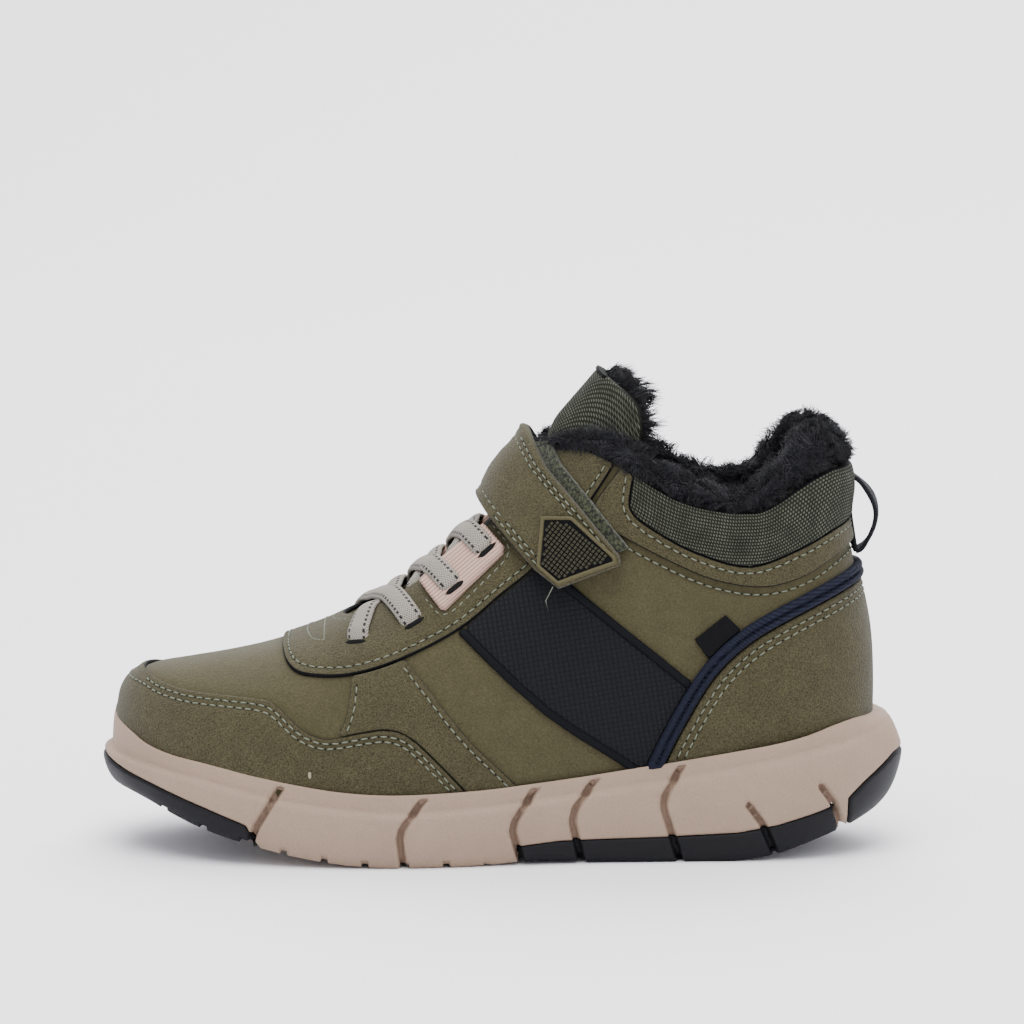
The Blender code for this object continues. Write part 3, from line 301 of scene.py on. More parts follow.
def even_points(points, count):
    """A line divided into equal lengths."""
    lengths = run_lengths(points)
    targets = np.linspace(0.0, lengths[-1], count + 1)
    return np.column_stack([np.interp(targets, lengths, points[:, axis])
                            for axis in range(points.shape[1])])


def unit(vectors):
    """Vectors brought to a length of one."""
    return vectors / np.maximum(np.linalg.norm(vectors, axis=-1, keepdims=True), 1e-9)


def moved_aside(line, distance):
    """A side-view line moved to the left of its direction."""
    direction = unit(np.gradient(line, axis=0))
    return line + np.column_stack((-direction[:, 1], direction[:, 0])) * distance


def smooth_share(value):
    """A share from 0 to 1 that starts and ends gently."""
    value = np.clip(value, 0.0, 1.0)
    return value * value * (3 - 2 * value)


def ripple(points, size, seed):
    """Gentle uneven swells over a form, from -1 to 1, each about one size long."""
    rng = np.random.default_rng(seed)
    total = np.zeros(points.shape[:-1])
    for _ in range(6):
        direction = rng.normal(size=3)
        direction *= 2 * math.pi / (size * rng.uniform(0.7, 1.6) * np.linalg.norm(direction))
        total += np.sin(points @ direction + rng.uniform(0, 2 * math.pi))
    return total / 6


# Forms that the layers follow

class Skin:
    """A fine grid of points over a form, closed round its columns."""

    def __init__(self, points, sign=1.0):
        self.points = points
        down = np.gradient(points, axis=0)
        round_form = np.roll(points, -1, axis=1) - np.roll(points, 1, axis=1)
        self.normals = sign * unit(np.cross(down, round_form))
        steps = np.linalg.norm(np.diff(points, axis=0), axis=2)
        self.row_mm = np.vstack((np.zeros(points.shape[1]), np.cumsum(steps, axis=0)))
        closed = np.concatenate((points, points[:, :1]), axis=1)
        steps = np.linalg.norm(np.diff(closed, axis=1), axis=2)
        self.column_mm = np.hstack((np.zeros((len(points), 1)), np.cumsum(steps, axis=1)))

    def sample(self, grid, rows, columns):
        """Values of a grid at broken row and column numbers."""
        total = self.points.shape[1]
        rows = np.clip(rows, 0.0, len(self.points) - 1.0001)
        low = np.floor(rows).astype(int)
        left = np.floor(columns).astype(int)
        a = rows - low
        b = columns - left
        if grid.ndim == 3:
            a = a[..., None]
            b = b[..., None]
        if grid.shape[1] == total:
            first, second = left % total, (left + 1) % total
        else:
            first, second = np.clip(left, 0, total - 1), np.clip(left + 1, 0, total)
        top = grid[low, first] * (1 - b) + grid[low, second] * b
        bottom = grid[low + 1, first] * (1 - b) + grid[low + 1, second] * b
        return top * (1 - a) + bottom * a

    def place(self, rows, columns, offset=0.0):
        """Points off the form at broken row and column numbers."""
        normals = unit(self.sample(self.normals, rows, columns))
        offset = np.asarray(offset, dtype=float)
        if offset.ndim:
            offset = offset[..., None]
        return self.sample(self.points, rows, columns) + normals * offset


ROW_STEPS = 7
COLUMNS = 144


def half_section(row, outer):
    """Half of a section of the upper, from its foot to its top."""
    top_x, top_z, foot_x, foot_z, centre, outer_half, inner_half, widest, above, below = row
    foot = np.array((along(foot_x), 0.0, up(foot_z)))
    axis = np.array((along(top_x), 0.0, up(top_z))) - foot
    sign, half = (-1.0, across(outer_half)) if outer else (1.0, across(inner_half))
    angle = np.linspace(-math.pi / 2, math.pi / 2, 121)
    power = np.where(angle > 0, above, below)
    reach = (np.abs(np.cos(angle)) ** power + np.abs(np.sin(angle)) ** power) ** (-1 / power)
    rise = reach * np.sin(angle)
    share = widest + rise * np.where(angle > 0, 1 - widest, widest)
    curve = foot + axis * share[:, None]
    curve[:, 1] = across(centre) + SIDE_SHIFT + sign * half * reach * np.cos(angle)
    return curve


def upper_skin():
    """The outside of the upper: sections from the toe tip to above the collar."""
    rings = []
    for row in smooth_rows(SECTIONS, ROW_STEPS):
        outer = even_points(half_section(row, True), COLUMNS // 2)
        inner = even_points(half_section(row, False), COLUMNS // 2)
        rings.append(np.vstack((outer[:-1], inner[:0:-1])))
    tip = np.repeat(rings[0].mean(axis=0)[None, :], COLUMNS, axis=0)
    tip[:, 0] -= 1.2
    middle = (tip + rings[0]) / 2
    middle[:, 0] -= 0.45
    return Skin(np.array([tip, middle] + rings))


SOLE_STEPS = 14
SOLE_COLUMNS = 620
# Levels of the sole's side: share of the height from the underside to the step, and share
# of the underside's inset that is left there
BELLY = ((0.0, 1.0), (0.08, 0.70), (0.18, 0.44), (0.30, 0.25), (0.45, 0.10), (0.62, 0.0),
         (0.80, 0.02))
GROOVE_REACH = (0.5, 0.9, 1.35)      # floor, middle and top edge, from the groove's middle
GROOVE_DEPTH = 2.4
TREAD_PITCH = 4.98
TREAD_GROOVE = 2.0
TREAD_CUTS = (0.8, 1.15)
TREAD_DEPTH = 2.4
TREAD_REACH = 84.0
LEDGE = 1.1


def distance_to_line(x, z, line):
    """Distance in side view to an open line."""
    best = np.full(x.shape, 1e9)
    for (ax, az), (bx, bz) in zip(line[:-1], line[1:]):
        ex, ez = bx - ax, bz - az
        part = np.clip(((x - ax) * ex + (z - az) * ez) / (ex * ex + ez * ez + 1e-12), 0, 1)
        best = np.minimum(best, (x - ax - ex * part) ** 2 + (z - az - ez * part) ** 2)
    return np.sqrt(best)


def inside(points, outline):
    """Distance in side view to a closed outline, positive inside it."""
    x, z = points[..., 0], points[..., 2]
    closed = np.vstack((outline, outline[:1]))
    best = distance_to_line(x, z, closed)
    within = np.zeros(x.shape, dtype=bool)
    for (ax, az), (bx, bz) in zip(closed[:-1], closed[1:]):
        if az == bz:
            continue
        crosses = ((az > z) != (bz > z)) & (x < (bx - ax) * (z - az) / (bz - az) + ax)
        within ^= crosses
    return np.where(within, best, -best)


def sole_skin():
    """The outside of the sole: rings from the middle of the underside up to the rim."""
    rows = smooth_rows(SOLE, SOLE_STEPS)
    plan = np.vstack((
        np.column_stack((along(rows[:, 0]), SIDE_SHIFT - across(rows[:, 1]))),
        np.column_stack((along(rows[::-1, 0]), SIDE_SHIFT + across(rows[::-1, 2])))))
    table = np.column_stack((plan, np.vstack((rows, rows[::-1]))))
    table = np.vstack((table, table[:1]))
    lengths = run_lengths(table[:, :2])
    targets = np.linspace(0.0, lengths[-1], SOLE_COLUMNS + 1)[:-1]
    table = np.column_stack([np.interp(targets, lengths, column) for column in table.T])
    plan, details = table[:, :2], table[:, 2:]
    tangent = np.roll(plan, -1, axis=0) - np.roll(plan, 1, axis=0)
    normal = unit(np.column_stack((tangent[:, 1], -tangent[:, 0])))
    normal = unit(sum(np.roll(normal, shift, axis=0) * math.exp(-(shift / 4.0) ** 2)
                      for shift in range(-9, 10)))
    underside = up(np.maximum(details[:, 3], 0.0))
    step, rim = up(details[:, 4]), up(details[:, 5])
    low_inset, step_inset, rim_inset = (across(details[:, column]) for column in (6, 7, 8))
    centre = np.column_stack((plan[:, 0] * 0.88, np.full(len(plan), SIDE_SHIFT)))
    shares = smooth_rows(BELLY, 3)
    rings = []
    edge = plan - normal * low_inset[:, None]
    for part in (0.0, 0.25, 0.5, 0.7, 0.84, 0.92, 0.97):
        spot = centre + (edge - centre) * part
        rings.append(np.column_stack((spot, underside)))
    for height, left in shares[:-1]:
        spot = plan - normal * (low_inset * left)[:, None]
        rings.append(np.column_stack((spot, underside + height * (step - underside))))
    heel = smooth_share((details[:, 0] - 92.0) / 5.0)
    ledge = LEDGE * (1 - heel)
    rim_inset = np.maximum(rim_inset, step_inset + ledge)
    upper_run = (
        (0.0, 0.88, 0.05, 0.4), (0.0, 0.94, 0.25, 0.62), (0.0, 0.975, 0.6, 0.82),
        (0.03, 1.0, 1.0, 1.0),
    )
    for rise, height, left, left_heel in upper_run:
        level = underside + height * (step - underside) + rise * (rim - step)
        inset = step_inset * (left + (left_heel - left) * heel) + ledge * (left > 0.9)
        spot = plan - normal * inset[:, None]
        rings.append(np.column_stack((spot, level)))
    for part in (0.2, 0.4, 0.6, 0.78, 0.9, 0.97):
        inset = step_inset + ledge + (rim_inset - step_inset - ledge) * part ** 2
        spot = plan - normal * inset[:, None]
        rings.append(np.column_stack((spot, step + (rim - step) * part)))
    for further, drop in ((0.35, 0.0), (1.2, 0.15), (3.2, 1.6)):
        spot = plan - normal * (rim_inset + further)[:, None]
        rings.append(np.column_stack((spot, rim - drop)))
    skin = Skin(np.array(rings), -1.0)
    side = slice(9, len(rings) - 4)          # relief goes nearly level into the side
    skin.normals[side, :, 2] *= 0.3
    skin.normals[side] = unit(skin.normals[side])
    return skin


UPPER = upper_skin()
SOLE_FORM = sole_skin()


def rim_height(x):
    """Height of the sole's rim at a place along the length."""
    rows = smooth_rows(SOLE, 4)
    return np.interp(x, along(rows[:, 0]), up(rows[:, 5]))


# Where each layer lies: distances inside its outline, in millimetres

def closed_by(line, corners):
    """A line closed by further corners in millimetres."""
    return np.vstack((line, corners))


TOP = HEIGHT + 30.0
GUARD = side_view(GUARD_LINE, 5)
GUARD = closed_by(GUARD, ((GUARD[-1][0], 0.0), (GUARD[0][0], 0.0)))
EYESTAY = side_view(EYESTAY_LINE, 5)
EYESTAY = closed_by(EYESTAY, ((EYESTAY[-1][0], TOP), (EYESTAY[0][0] - 3.0, TOP)))
QUARTER = np.vstack((side_view(QUARTER_FRONT, 5), side_view(QUARTER_REAR, 3)))
DARK = np.vstack((side_view(DARK_FRONT, 3), side_view(DARK_REAR, 3)))
PIPING_PATH = side_view(PIPING_LINE, 6)
PIPE = np.vstack((moved_aside(PIPING_PATH, PIPING / 2),
                  moved_aside(PIPING_PATH, -PIPING / 2)[::-1]))
BEHIND_PIPING = closed_by(PIPING_PATH, ((LENGTH, PIPING_PATH[-1][1]), (LENGTH, -30.0),
                                        (PIPING_PATH[0][0], -30.0)))
BAND = np.vstack((side_view(BAND_LOW, 5), side_view(BAND_TOP, 5)[::-1], side_view(BAND_FRONT)))
PAD_LINE = side_view(BAND_TOP, 5)
PAD = closed_by(PAD_LINE, ((PAD_LINE[-1][0], TOP), (PAD_LINE[0][0], TOP)))
COLLAR = side_view(COLLAR_LINE, 6)
ABOVE_COLLAR = closed_by(COLLAR, ((LENGTH, COLLAR[-1][1]), (LENGTH, TOP), (COLLAR[0][0], TOP)))
STRAP_DROP = np.array((0.8, -1.5))       # the strap's lift off the upper shows it higher
STRAP_SHAPE = np.vstack((side_view(STRAP_FRONT), side_view(STRAP_REAR))) + STRAP_DROP
PATCH_SHAPE = side_view(PATCH_OUTLINE) + STRAP_DROP
ANCHOR = side_view(STRAP_ANCHOR)
LANDING_SHAPE = side_view(LANDING_OUTLINE)
HOLDER = side_view(HOLDER_OUTLINE)
TAG_SHAPE = side_view(TAG_OUTLINE)
TONGUE_SHAPE = side_view(TONGUE_OUTLINE, 2)
THROAT_FRONT = along(30.5)
LOOSE_THREAD = ((14.6, 80.0), (13.4, 72.4))
SCUFF = (-54.4, 26.9)
RIM_OVERLAP = 1.2        # how far a layer goes on behind the rim of the sole


def above_rim(points):
    return points[..., 2] - rim_height(points[..., 0]) + RIM_OVERLAP


def outside_throat(points):
    """Distance in plan to the slot over the instep."""
    half = THROAT_WIDTH / 2
    x, y = points[..., 0] - (THROAT_FRONT + half), points[..., 1] - SIDE_SHIFT
    slot = np.where(x < 0, np.hypot(x, y), np.abs(y)) - half
    over = (points[..., 2] > up(34.0)) & (points[..., 0] < along(72.0))
    return np.where(over, slot, 40.0)


def inside_tongue(points):
    """Distance inside the tongue, which widens above the collar."""
    half = TONGUE_WIDTH / 2 + 4.5 * smooth_share((points[..., 2] - up(78.0)) / 10.0)
    return least(inside(points, TONGUE_SHAPE), half - np.abs(points[..., 1] - SIDE_SHIFT))


def under_collar(points):
    return -inside(points, ABOVE_COLLAR)


def on_side(points, side):
    """Distance to the middle plane, positive on the named side."""
    return (points[..., 1] - SIDE_SHIFT) * (-1.0 if side == "outer" else 1.0)


def clear_of(points, outline, gap=CLEARANCE):
    return -inside(points, outline) - gap


def least(*fields):
    return np.minimum.reduce(fields)


# Meshes

def deselect():
    if bpy.context.object and bpy.context.object.mode != "OBJECT":
        bpy.ops.object.mode_set(mode="OBJECT")
    bpy.ops.object.select_all(action="DESELECT")


def add_mesh(name, points, faces, smooth=True):
    """A new piece from points in millimetres."""
    data = bpy.data.meshes.new(name)
    data.from_pydata((np.asarray(points) * MM).tolist(), [], faces)
    data.update()
    if smooth:
        data.shade_smooth()
    item = bpy.data.objects.new(name, data)
    bpy.context.scene.collection.objects.link(item)
    return item


def flat_sheet(name, rows, columns, row_count, column_count):
    """A primitive grid laid out over broken row and column numbers."""
    deselect()
    bpy.ops.mesh.primitive_grid_add(x_subdivisions=row_count, y_subdivisions=column_count,
                                    size=1.0)
    item = bpy.context.object
    item.name = name
    count = len(item.data.vertices)
    flat = np.empty(count * 3)
    item.data.vertices.foreach_get("co", flat)
    flat = flat.reshape(-1, 3)
    flat[:, 0] = rows[0] + (flat[:, 0] + 0.5) * (rows[1] - rows[0])
    flat[:, 1] = columns[0] + (flat[:, 1] + 0.5) * (columns[1] - columns[0])
    item.data.vertices.foreach_set("co", flat.ravel())
    return item


def sheet_points(item):
    flat = np.empty(len(item.data.vertices) * 3)
    item.data.vertices.foreach_get("co", flat)
    return flat.reshape(-1, 3)


def cut_at(item, skin, field, levels, trim):
    """Cuts a flat sheet along levels of a field, and drops what lies below the first."""
    flat = sheet_points(item)
    if not len(flat):
        raise RuntimeError(f"{item.name}: nothing is left of the sheet")
    flat[:, 2] = field(skin.place(flat[:, 0], flat[:, 1]))
    item.data.vertices.foreach_set("co", flat.ravel())
    item.data.update()
    bpy.ops.object.mode_set(mode="EDIT")
    for number, level in enumerate(levels):
        bpy.ops.mesh.select_all(action="SELECT")
        bpy.ops.mesh.bisect(plane_co=(0.0, 0.0, level), plane_no=(0.0, 0.0, 1.0),
                            clear_inner=trim and number == 0)
    bpy.ops.object.mode_set(mode="OBJECT")


def sheet_over(name, skin, field, cell, edge_rows, seam_rows):
    """A flat sheet over the part of a skin where a field is positive, cut at its levels."""
    covered = field(skin.points) > -0.5
    hit_rows, hit_columns = (np.nonzero(covered.any(axis=axis))[0] for axis in (1, 0))
    rows = (max(hit_rows[0] - 1, 0), min(hit_rows[-1] + 1, len(skin.points) - 1))
    columns = (max(hit_columns[0] - 1, 0), min(hit_columns[-1] + 2, skin.points.shape[1]))
    row_mm = np.ptp(skin.row_mm[rows[0]:rows[1] + 1], axis=0).max()
    column_mm = np.ptp(skin.column_mm[rows[0]:rows[1] + 1, columns[0]:columns[1] + 1],
                       axis=1).max()
    item = flat_sheet(name, rows, columns, max(int(row_mm / cell), 2),
                      max(int(column_mm / cell), 2))
    cut_at(item, skin, field, (0.0,) + tuple(edge_rows), True)
    for seam_field, levels in seam_rows:
        cut_at(item, skin, seam_field, levels, False)
    return item


def welded_faces(item, total):
    """Spots and faces of a flat sheet, joined where it closes round its skin.

    Each face comes with the row and column numbers of its corners.
    """
    flat = sheet_points(item)
    keys, kept = {}, []
    welded = np.empty(len(flat), dtype=int)
    for index, (row, column, _) in enumerate(flat):
        key = (round(row, 5), round(column % total, 5) % total)
        if key not in keys:
            keys[key] = len(kept)
            kept.append(index)
        welded[index] = keys[key]
    faces, corners = [], []
    for polygon in item.data.polygons:
        ring = [(int(welded[index]), (flat[index, 0], flat[index, 1]))
                for index in polygon.vertices]
        if len({spot for spot, _ in ring}) < len(ring):
            ring = [(spot, pair) for place, (spot, pair) in enumerate(ring)
                    if spot != ring[place - 1][0]]
        spots = [spot for spot, _ in ring]
        if 3 <= len(spots) == len(set(spots)):
            faces.append(spots)
            corners.append([pair for _, pair in ring])
    return flat[kept], faces, corners


def layer(name, skin, field, height, bottom, cell=1.3, edge_rows=(0.12, 0.35, 0.75),
          seam_rows=(), finish=None, inside_finish=None, edge_finish=None, edge_reach=0.12,
          chart=None, inlay=None):
    """A closed layer over a skin where its field is positive.

    height gives the top of the layer above the skin from its points and the field there,
    bottom its underside. The cut edge takes a finish of its own as far as edge_reach, and
    chart gives a map in millimetres from the points of the skin. inlay is a test of points
    with the finish for the faces that pass it.
    """
    item = sheet_over(name, skin, field, cell, edge_rows, seam_rows)
    spots, top_faces, uv_top = welded_faces(item, skin.points.shape[1])
    rows, columns = spots[:, 0], spots[:, 1]
    base = skin.place(rows, columns)
    depth = field(base)
    tops = skin.place(rows, columns, height(base, depth))
    lows = skin.place(rows, columns, bottom(base, depth) if callable(bottom) else bottom)
    count = len(spots)
    first = np.array(top_faces[0][:3])
    flip = np.dot(np.cross(tops[first[1]] - tops[first[0]], tops[first[2]] - tops[first[0]]),
                  tops[first[0]] - lows[first[0]]) < 0
    if flip:
        top_faces = [face[::-1] for face in top_faces]
        uv_top = [uv[::-1] for uv in uv_top]
    edges = dict.fromkeys((a, b) for face in top_faces
                          for a, b in zip(face, face[1:] + face[:1]))
    walls = [(b, a, a + count, b + count) for a, b in edges if (b, a) not in edges]
    low_faces = [[index + count for index in face[::-1]] for face in top_faces]
    all_faces = top_faces + low_faces + walls
    new = add_mesh(name + "_made", np.vstack((tops, lows)), all_faces)
    uv_map = new.data.uv_layers.new(name="UVMap")
    pairs = np.array([pair for face in uv_top for pair in face]
                     + [pair for face in uv_top for pair in face[::-1]]).T
    mm = np.column_stack([skin.sample(grid, *pairs) for grid in (skin.column_mm, skin.row_mm)])
    if chart:
        mm = chart(skin.place(*pairs), mm)
    wall_uv = np.zeros((len(walls) * 4, 2))
    uv_map.data.foreach_set("uv", np.vstack((mm, wall_uv)).ravel())
    if finish:
        new.data.materials.append(finish)
    marks = np.zeros(len(all_faces), dtype=int)
    if inside_finish:
        new.data.materials.append(inside_finish)
        marks[len(top_faces):len(top_faces) + len(low_faces)] = 1
    if edge_finish:
        new.data.materials.append(edge_finish)
        number = len(new.data.materials) - 1
        marks[len(top_faces) + len(low_faces):] = number
        for index, face in enumerate(top_faces):
            if max(depth[spot] for spot in face) < edge_reach + 0.02:
                marks[index] = number
    if inlay:
        new.data.materials.append(inlay[1])
        taken = inlay[0](base)
        for index, face in enumerate(top_faces):
            if all(taken[spot] for spot in face):
                marks[index] = len(new.data.materials) - 1
    new.data.polygons.foreach_set("material_index", marks)
    bpy.data.objects.remove(item, do_unlink=True)
    new.name = name
    new.data.name = name
    return new


def ripple_way(points, size, seed):
    """A direction at each point that turns gently over a form."""
    return unit(np.column_stack([ripple(points, size, seed + axis) for axis in range(3)]))


def rounded_edge(depth, thickness, radius=0.75, left=0.35):
    """Height of a layer that rounds off at its cut edge."""
    share = np.clip(depth / radius, 0.0, 1.0)
    return thickness * (left + (1 - left) * np.sqrt(1 - (1 - share) ** 2))


def pull_down(values, level, depth=0.3, reach=0.8):
    """Dip that a row of stitches pulls into a layer."""
    return depth * np.exp(-((values - level) / reach) ** 2)


def dress(item, body="root", nodes=()):
    """Puts a finished piece on its body, in the place of its solids."""
    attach(item, body)
    if nodes:
        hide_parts(*nodes)
    return item


# Materials

def linear(code):
    """An sRGB hex colour as linear values."""
    parts = [int(code[index:index + 2], 16) / 255 for index in (0, 2, 4)]
    return tuple(part / 12.92 if part <= 0.04045 else ((part + 0.055) / 1.055) ** 2.4
                 for part in parts)


class Paint:
    """A material in the making: its shader, its coordinates and what is mixed from them."""

    def __init__(self, name, roughness, specular=0.35, sheen=0.0):
        self.material = bpy.data.materials.new(name)
        self.material.use_nodes = True
        self.tree = self.material.node_tree
        self.shader = self.tree.nodes["Principled BSDF"]
        for key, value in (("Roughness", roughness), ("Specular IOR Level", specular),
                           ("Sheen Weight", sheen)):
            self.shader.inputs[key].default_value = value
        coordinates = self.node("TexCoord").outputs
        self.place, self.uv = coordinates["Object"], coordinates["UV"]

    def node(self, kind, links=None, **settings):
        """Adds a node with its settings, input values and links."""
        item = self.tree.nodes.new("ShaderNode" + kind)
        for key, value in settings.items():
            setattr(item, key, value)
        for key, value in (links or {}).items():
            if isinstance(value, bpy.types.NodeSocket):
                self.tree.links.new(value, item.inputs[key])
            else:
                item.inputs[key].default_value = value
        return item

    def math(self, operation, first, second=0.0):
        return self.node("Math", {0: first, 1: second}, operation=operation).outputs["Value"]

    def waves(self, value, run):
        """A sine over a value, one wave to each run of it."""
        return self.math("SINE", self.math("MULTIPLY", value, 2 * math.pi / run))

    def axes(self, vector):
        return self.node("SeparateXYZ", {"Vector": vector}).outputs

    def shaped(self, value, low, high, start=0.0, end=1.0):
        """A value spread from one range to another."""
        return self.node("MapRange", {"Value": value, "From Min": low, "From Max": high,
                                      "To Min": start, "To Max": end}).outputs["Result"]

    def noise(self, size_mm, detail=3.0, rough=0.55):
        """Noise whose grains are about a size in millimetres."""
        return self.node("TexNoise", {"Vector": self.place, "Scale": 1 / (size_mm * MM),
                                      "Detail": detail, "Roughness": rough}).outputs["Fac"]

    def mix(self, share, first, second):
        """A colour between two."""
        first, second = (value if isinstance(value, bpy.types.NodeSocket) else (*value, 1.0)
                         for value in (first, second))
        return self.node("Mix", {0: share, 6: first, 7: second}, data_type="RGBA").outputs[2]

    def scaled(self, colour, factor):
        """A colour made lighter or darker."""
        return self.node("VectorMath", {0: colour, 3: factor},
                         operation="SCALE").outputs["Vector"]

    def finished(self, colour, height=None, depth_mm=0.0):
        """The material with its colour and, if it has a height, its relief."""
        if isinstance(colour, bpy.types.NodeSocket):
            self.tree.links.new(colour, self.shader.inputs["Base Color"])
        else:
            self.shader.inputs["Base Color"].default_value = (*colour, 1.0)
        if height is not None:
            bump = self.node("Bump", {"Height": height, "Distance": depth_mm * MM,
                                      "Strength": 1.0})
            self.tree.links.new(bump.outputs["Normal"], self.shader.inputs["Normal"])
        return self.material


def nubuck_material(name, dark, light, grain_mm, depth_mm, mottle):
    """Buffed leather: a dull nap with fine pores and patches where it was rubbed lighter."""
    paint = Paint(name, 0.95, 0.1, 0.1)
    grains = paint.noise(grain_mm, 4.0, 0.7)
    patches = paint.noise(7.0, 5.0, 0.62)
    pores = paint.node("TexVoronoi", {"Vector": paint.place,
                                      "Scale": 1 / (grain_mm * 1.7 * MM)})
    base = paint.mix(paint.shaped(patches, 0.1, 0.9), dark, light)
    speckle = paint.shaped(grains, 0.36, 0.64, 1.0 - mottle, 1.0 + mottle)
    rise = paint.math("ADD", grains, pores.outputs["Distance"])
    return paint.finished(paint.scaled(base, speckle), rise, depth_mm)


def woven_mesh_material(name, dark, thread):
    """Coarse woven cloth: light threads that show as staggered dashes between dark ones.

    The dashes are drawn a little coarser than the real ones, which would blur.
    """
    paint = Paint(name, 0.85, 0.12)
    x, y, _ = paint.axes(paint.uv)
    row = paint.math("DIVIDE", y, 0.92)
    stagger = paint.math("MULTIPLY", paint.math("FLOOR", row), 0.5)
    column = paint.math("ADD", paint.math("DIVIDE", x, 1.32), stagger)
    dash, pick = (paint.math("PINGPONG", value, 0.5) for value in (column, row))
    height = paint.math("MULTIPLY", paint.shaped(dash, 0.08, 0.34),
                        paint.shaped(pick, 0.05, 0.38))
    stray = paint.shaped(paint.noise(5.0), 0.3, 0.7, 0.45, 0.95)
    share = paint.math("MULTIPLY", height, stray)
    return paint.finished(paint.mix(share, dark, thread), height, 0.3)


def ripstop_material(name, base, line):
    """Coated cloth with a fine raised square of thicker threads."""
    paint = Paint(name, 0.6, 0.12)
    turned = paint.node("Mapping", {"Vector": paint.place, "Rotation": (0.0, 0.16, 0.0)})
    x, _, z = paint.axes(turned.outputs["Vector"])
    lines = [paint.math("PINGPONG", paint.math("MULTIPLY", value, 1 / (SQUARE_PITCH * MM)), 0.5)
             for value in (x, z)]
    both = paint.math("MAXIMUM", *[paint.shaped(value, 0.04, 0.13, 1.0, 0.0)
                                   for value in lines])
    return paint.finished(paint.mix(both, base, line), both, -0.12)


def foam_material(name, colour, shade):
    """Moulded foam: a fine pebbled skin, a little darker where it is dusty."""
    paint = Paint(name, 0.7, 0.25)
    pebbles = paint.noise(0.55, 2.0, 0.5)
    dust = paint.shaped(paint.noise(14.0, 4.0, 0.6), 0.35, 0.75, 0.0, 0.55)
    pebbled = paint.scaled(paint.mix(dust, colour, shade),
                           paint.shaped(pebbles, 0.3, 0.7, 0.93, 1.05))
    return paint.finished(pebbled, pebbles, 0.16)


def rubber_material(name, colour, roughness=0.6, specular=0.16):
    """Moulded rubber with a fine matt skin."""
    paint = Paint(name, roughness, specular)
    return paint.finished(colour, paint.noise(0.5), 0.1)


def grained_material(name, dark, light, shine, grains, span, depth_mm):
    """A material of one kind of grain, with painted shade in its hollows and painted light on its
    tops.
    """
    paint = Paint(name, *shine)
    height = paint.noise(*grains)
    return paint.finished(paint.mix(paint.shaped(height, *span), dark, light), height, depth_mm)


def tape_material(name, dark, light, pitch_mm=0.8):
    """Woven tape: fine slanting ribs, on the piece's own map, with painted light on the rib tops
    and painted shade between them.
    """
    paint = Paint(name, 0.8, 0.15)
    x, y, _ = paint.axes(paint.uv)
    ribs = paint.shaped(paint.waves(paint.math("ADD", x, y), pitch_mm), -1.0, 1.0)
    share = paint.math("MULTIPLY", ribs, paint.noise(0.9))
    return paint.finished(paint.mix(paint.shaped(share, 0.05, 0.6), dark, light), share, 0.2)


def ribbed_material(name, dark, light):
    """Ribbed tape: fine cords that run along the holder, with painted shade between them and
    painted light on their tops.
    """
    paint = Paint(name, 0.7, 0.2)
    over = paint.node("VectorMath", {0: paint.place, 1: RIB_WAY}, operation="DOT_PRODUCT")
    ribs = paint.math("ABSOLUTE", paint.waves(over.outputs["Value"], 2 * RIB_PITCH * MM))
    return paint.finished(paint.mix(paint.shaped(ribs, 0.1, 0.75), dark, light), ribs, 0.1)


def lace_material(name, light, dark, fleck):
    """Flat elastic braid: fine cords along it, with dark flecks in two rows."""
    paint = Paint(name, 0.8, 0.3)
    x, y, _ = paint.axes(paint.uv)
    from_row = paint.math("ABSOLUTE", paint.math("SUBTRACT", paint.math("ABSOLUTE", x), 2.3))
    shifted = paint.math("ADD", y, paint.math("MULTIPLY", paint.math("SIGN", x), 1.2))
    dash = paint.math("PINGPONG", shifted, 0.9)
    marks = paint.math("MULTIPLY", paint.shaped(from_row, 0.28, 0.42, 1.0, 0.0),
                       paint.shaped(dash, 0.45, 0.55, 1.0, 0.0))
    weave = paint.math("MULTIPLY", paint.waves(x, 0.75), paint.waves(y, 0.9))
    base = paint.mix(paint.shaped(weave, -0.7, 0.7), dark, light)
    return paint.finished(paint.mix(marks, base, fleck), weave, 0.22)


# Thread, pile and bands

def level_lines(values, level):
    """Lines on a grid, as row and column numbers, along which its values have a level."""
    over = values > level
    mixed = (over[:-1, :-1] != over[1:, :-1]) | (over[:-1, :-1] != over[:-1, 1:]) \
        | (over[1:, 1:] != over[1:, :-1]) | (over[1:, 1:] != over[:-1, 1:])
    spots, joined = {}, {}

    def crossing(a, b):
        key = (a, b) if a < b else (b, a)
        if key not in spots:
            first, second = values[key[0]], values[key[1]]
            part = (level - first) / (second - first)
            spots[key] = np.array(key[0]) + (np.array(key[1]) - np.array(key[0])) * part
        return key

    for row, column in zip(*np.nonzero(mixed)):
        corners = ((row, column), (row, column + 1), (row + 1, column + 1), (row + 1, column))
        corners = tuple((int(a), int(b)) for a, b in corners)
        cuts = [crossing(a, b) for a, b in zip(corners, corners[1:] + corners[:1])
                if over[a] != over[b]]
        for first, second in zip(cuts[::2], cuts[1::2]):
            joined.setdefault(first, []).append(second)
            joined.setdefault(second, []).append(first)
    lines, seen = [], set()
    ends = [key for key, near in joined.items() if len(near) == 1]
    for start in ends + list(joined):
        if start in seen:
            continue
        line, key = [], start
        while key is not None and key not in seen:
            seen.add(key)
            line.append(spots[key])
            key = next((near for near in joined[key] if near not in seen), None)
        if len(line) > 3:
            lines.append(np.array(line))
    return lines


SEAMS = []


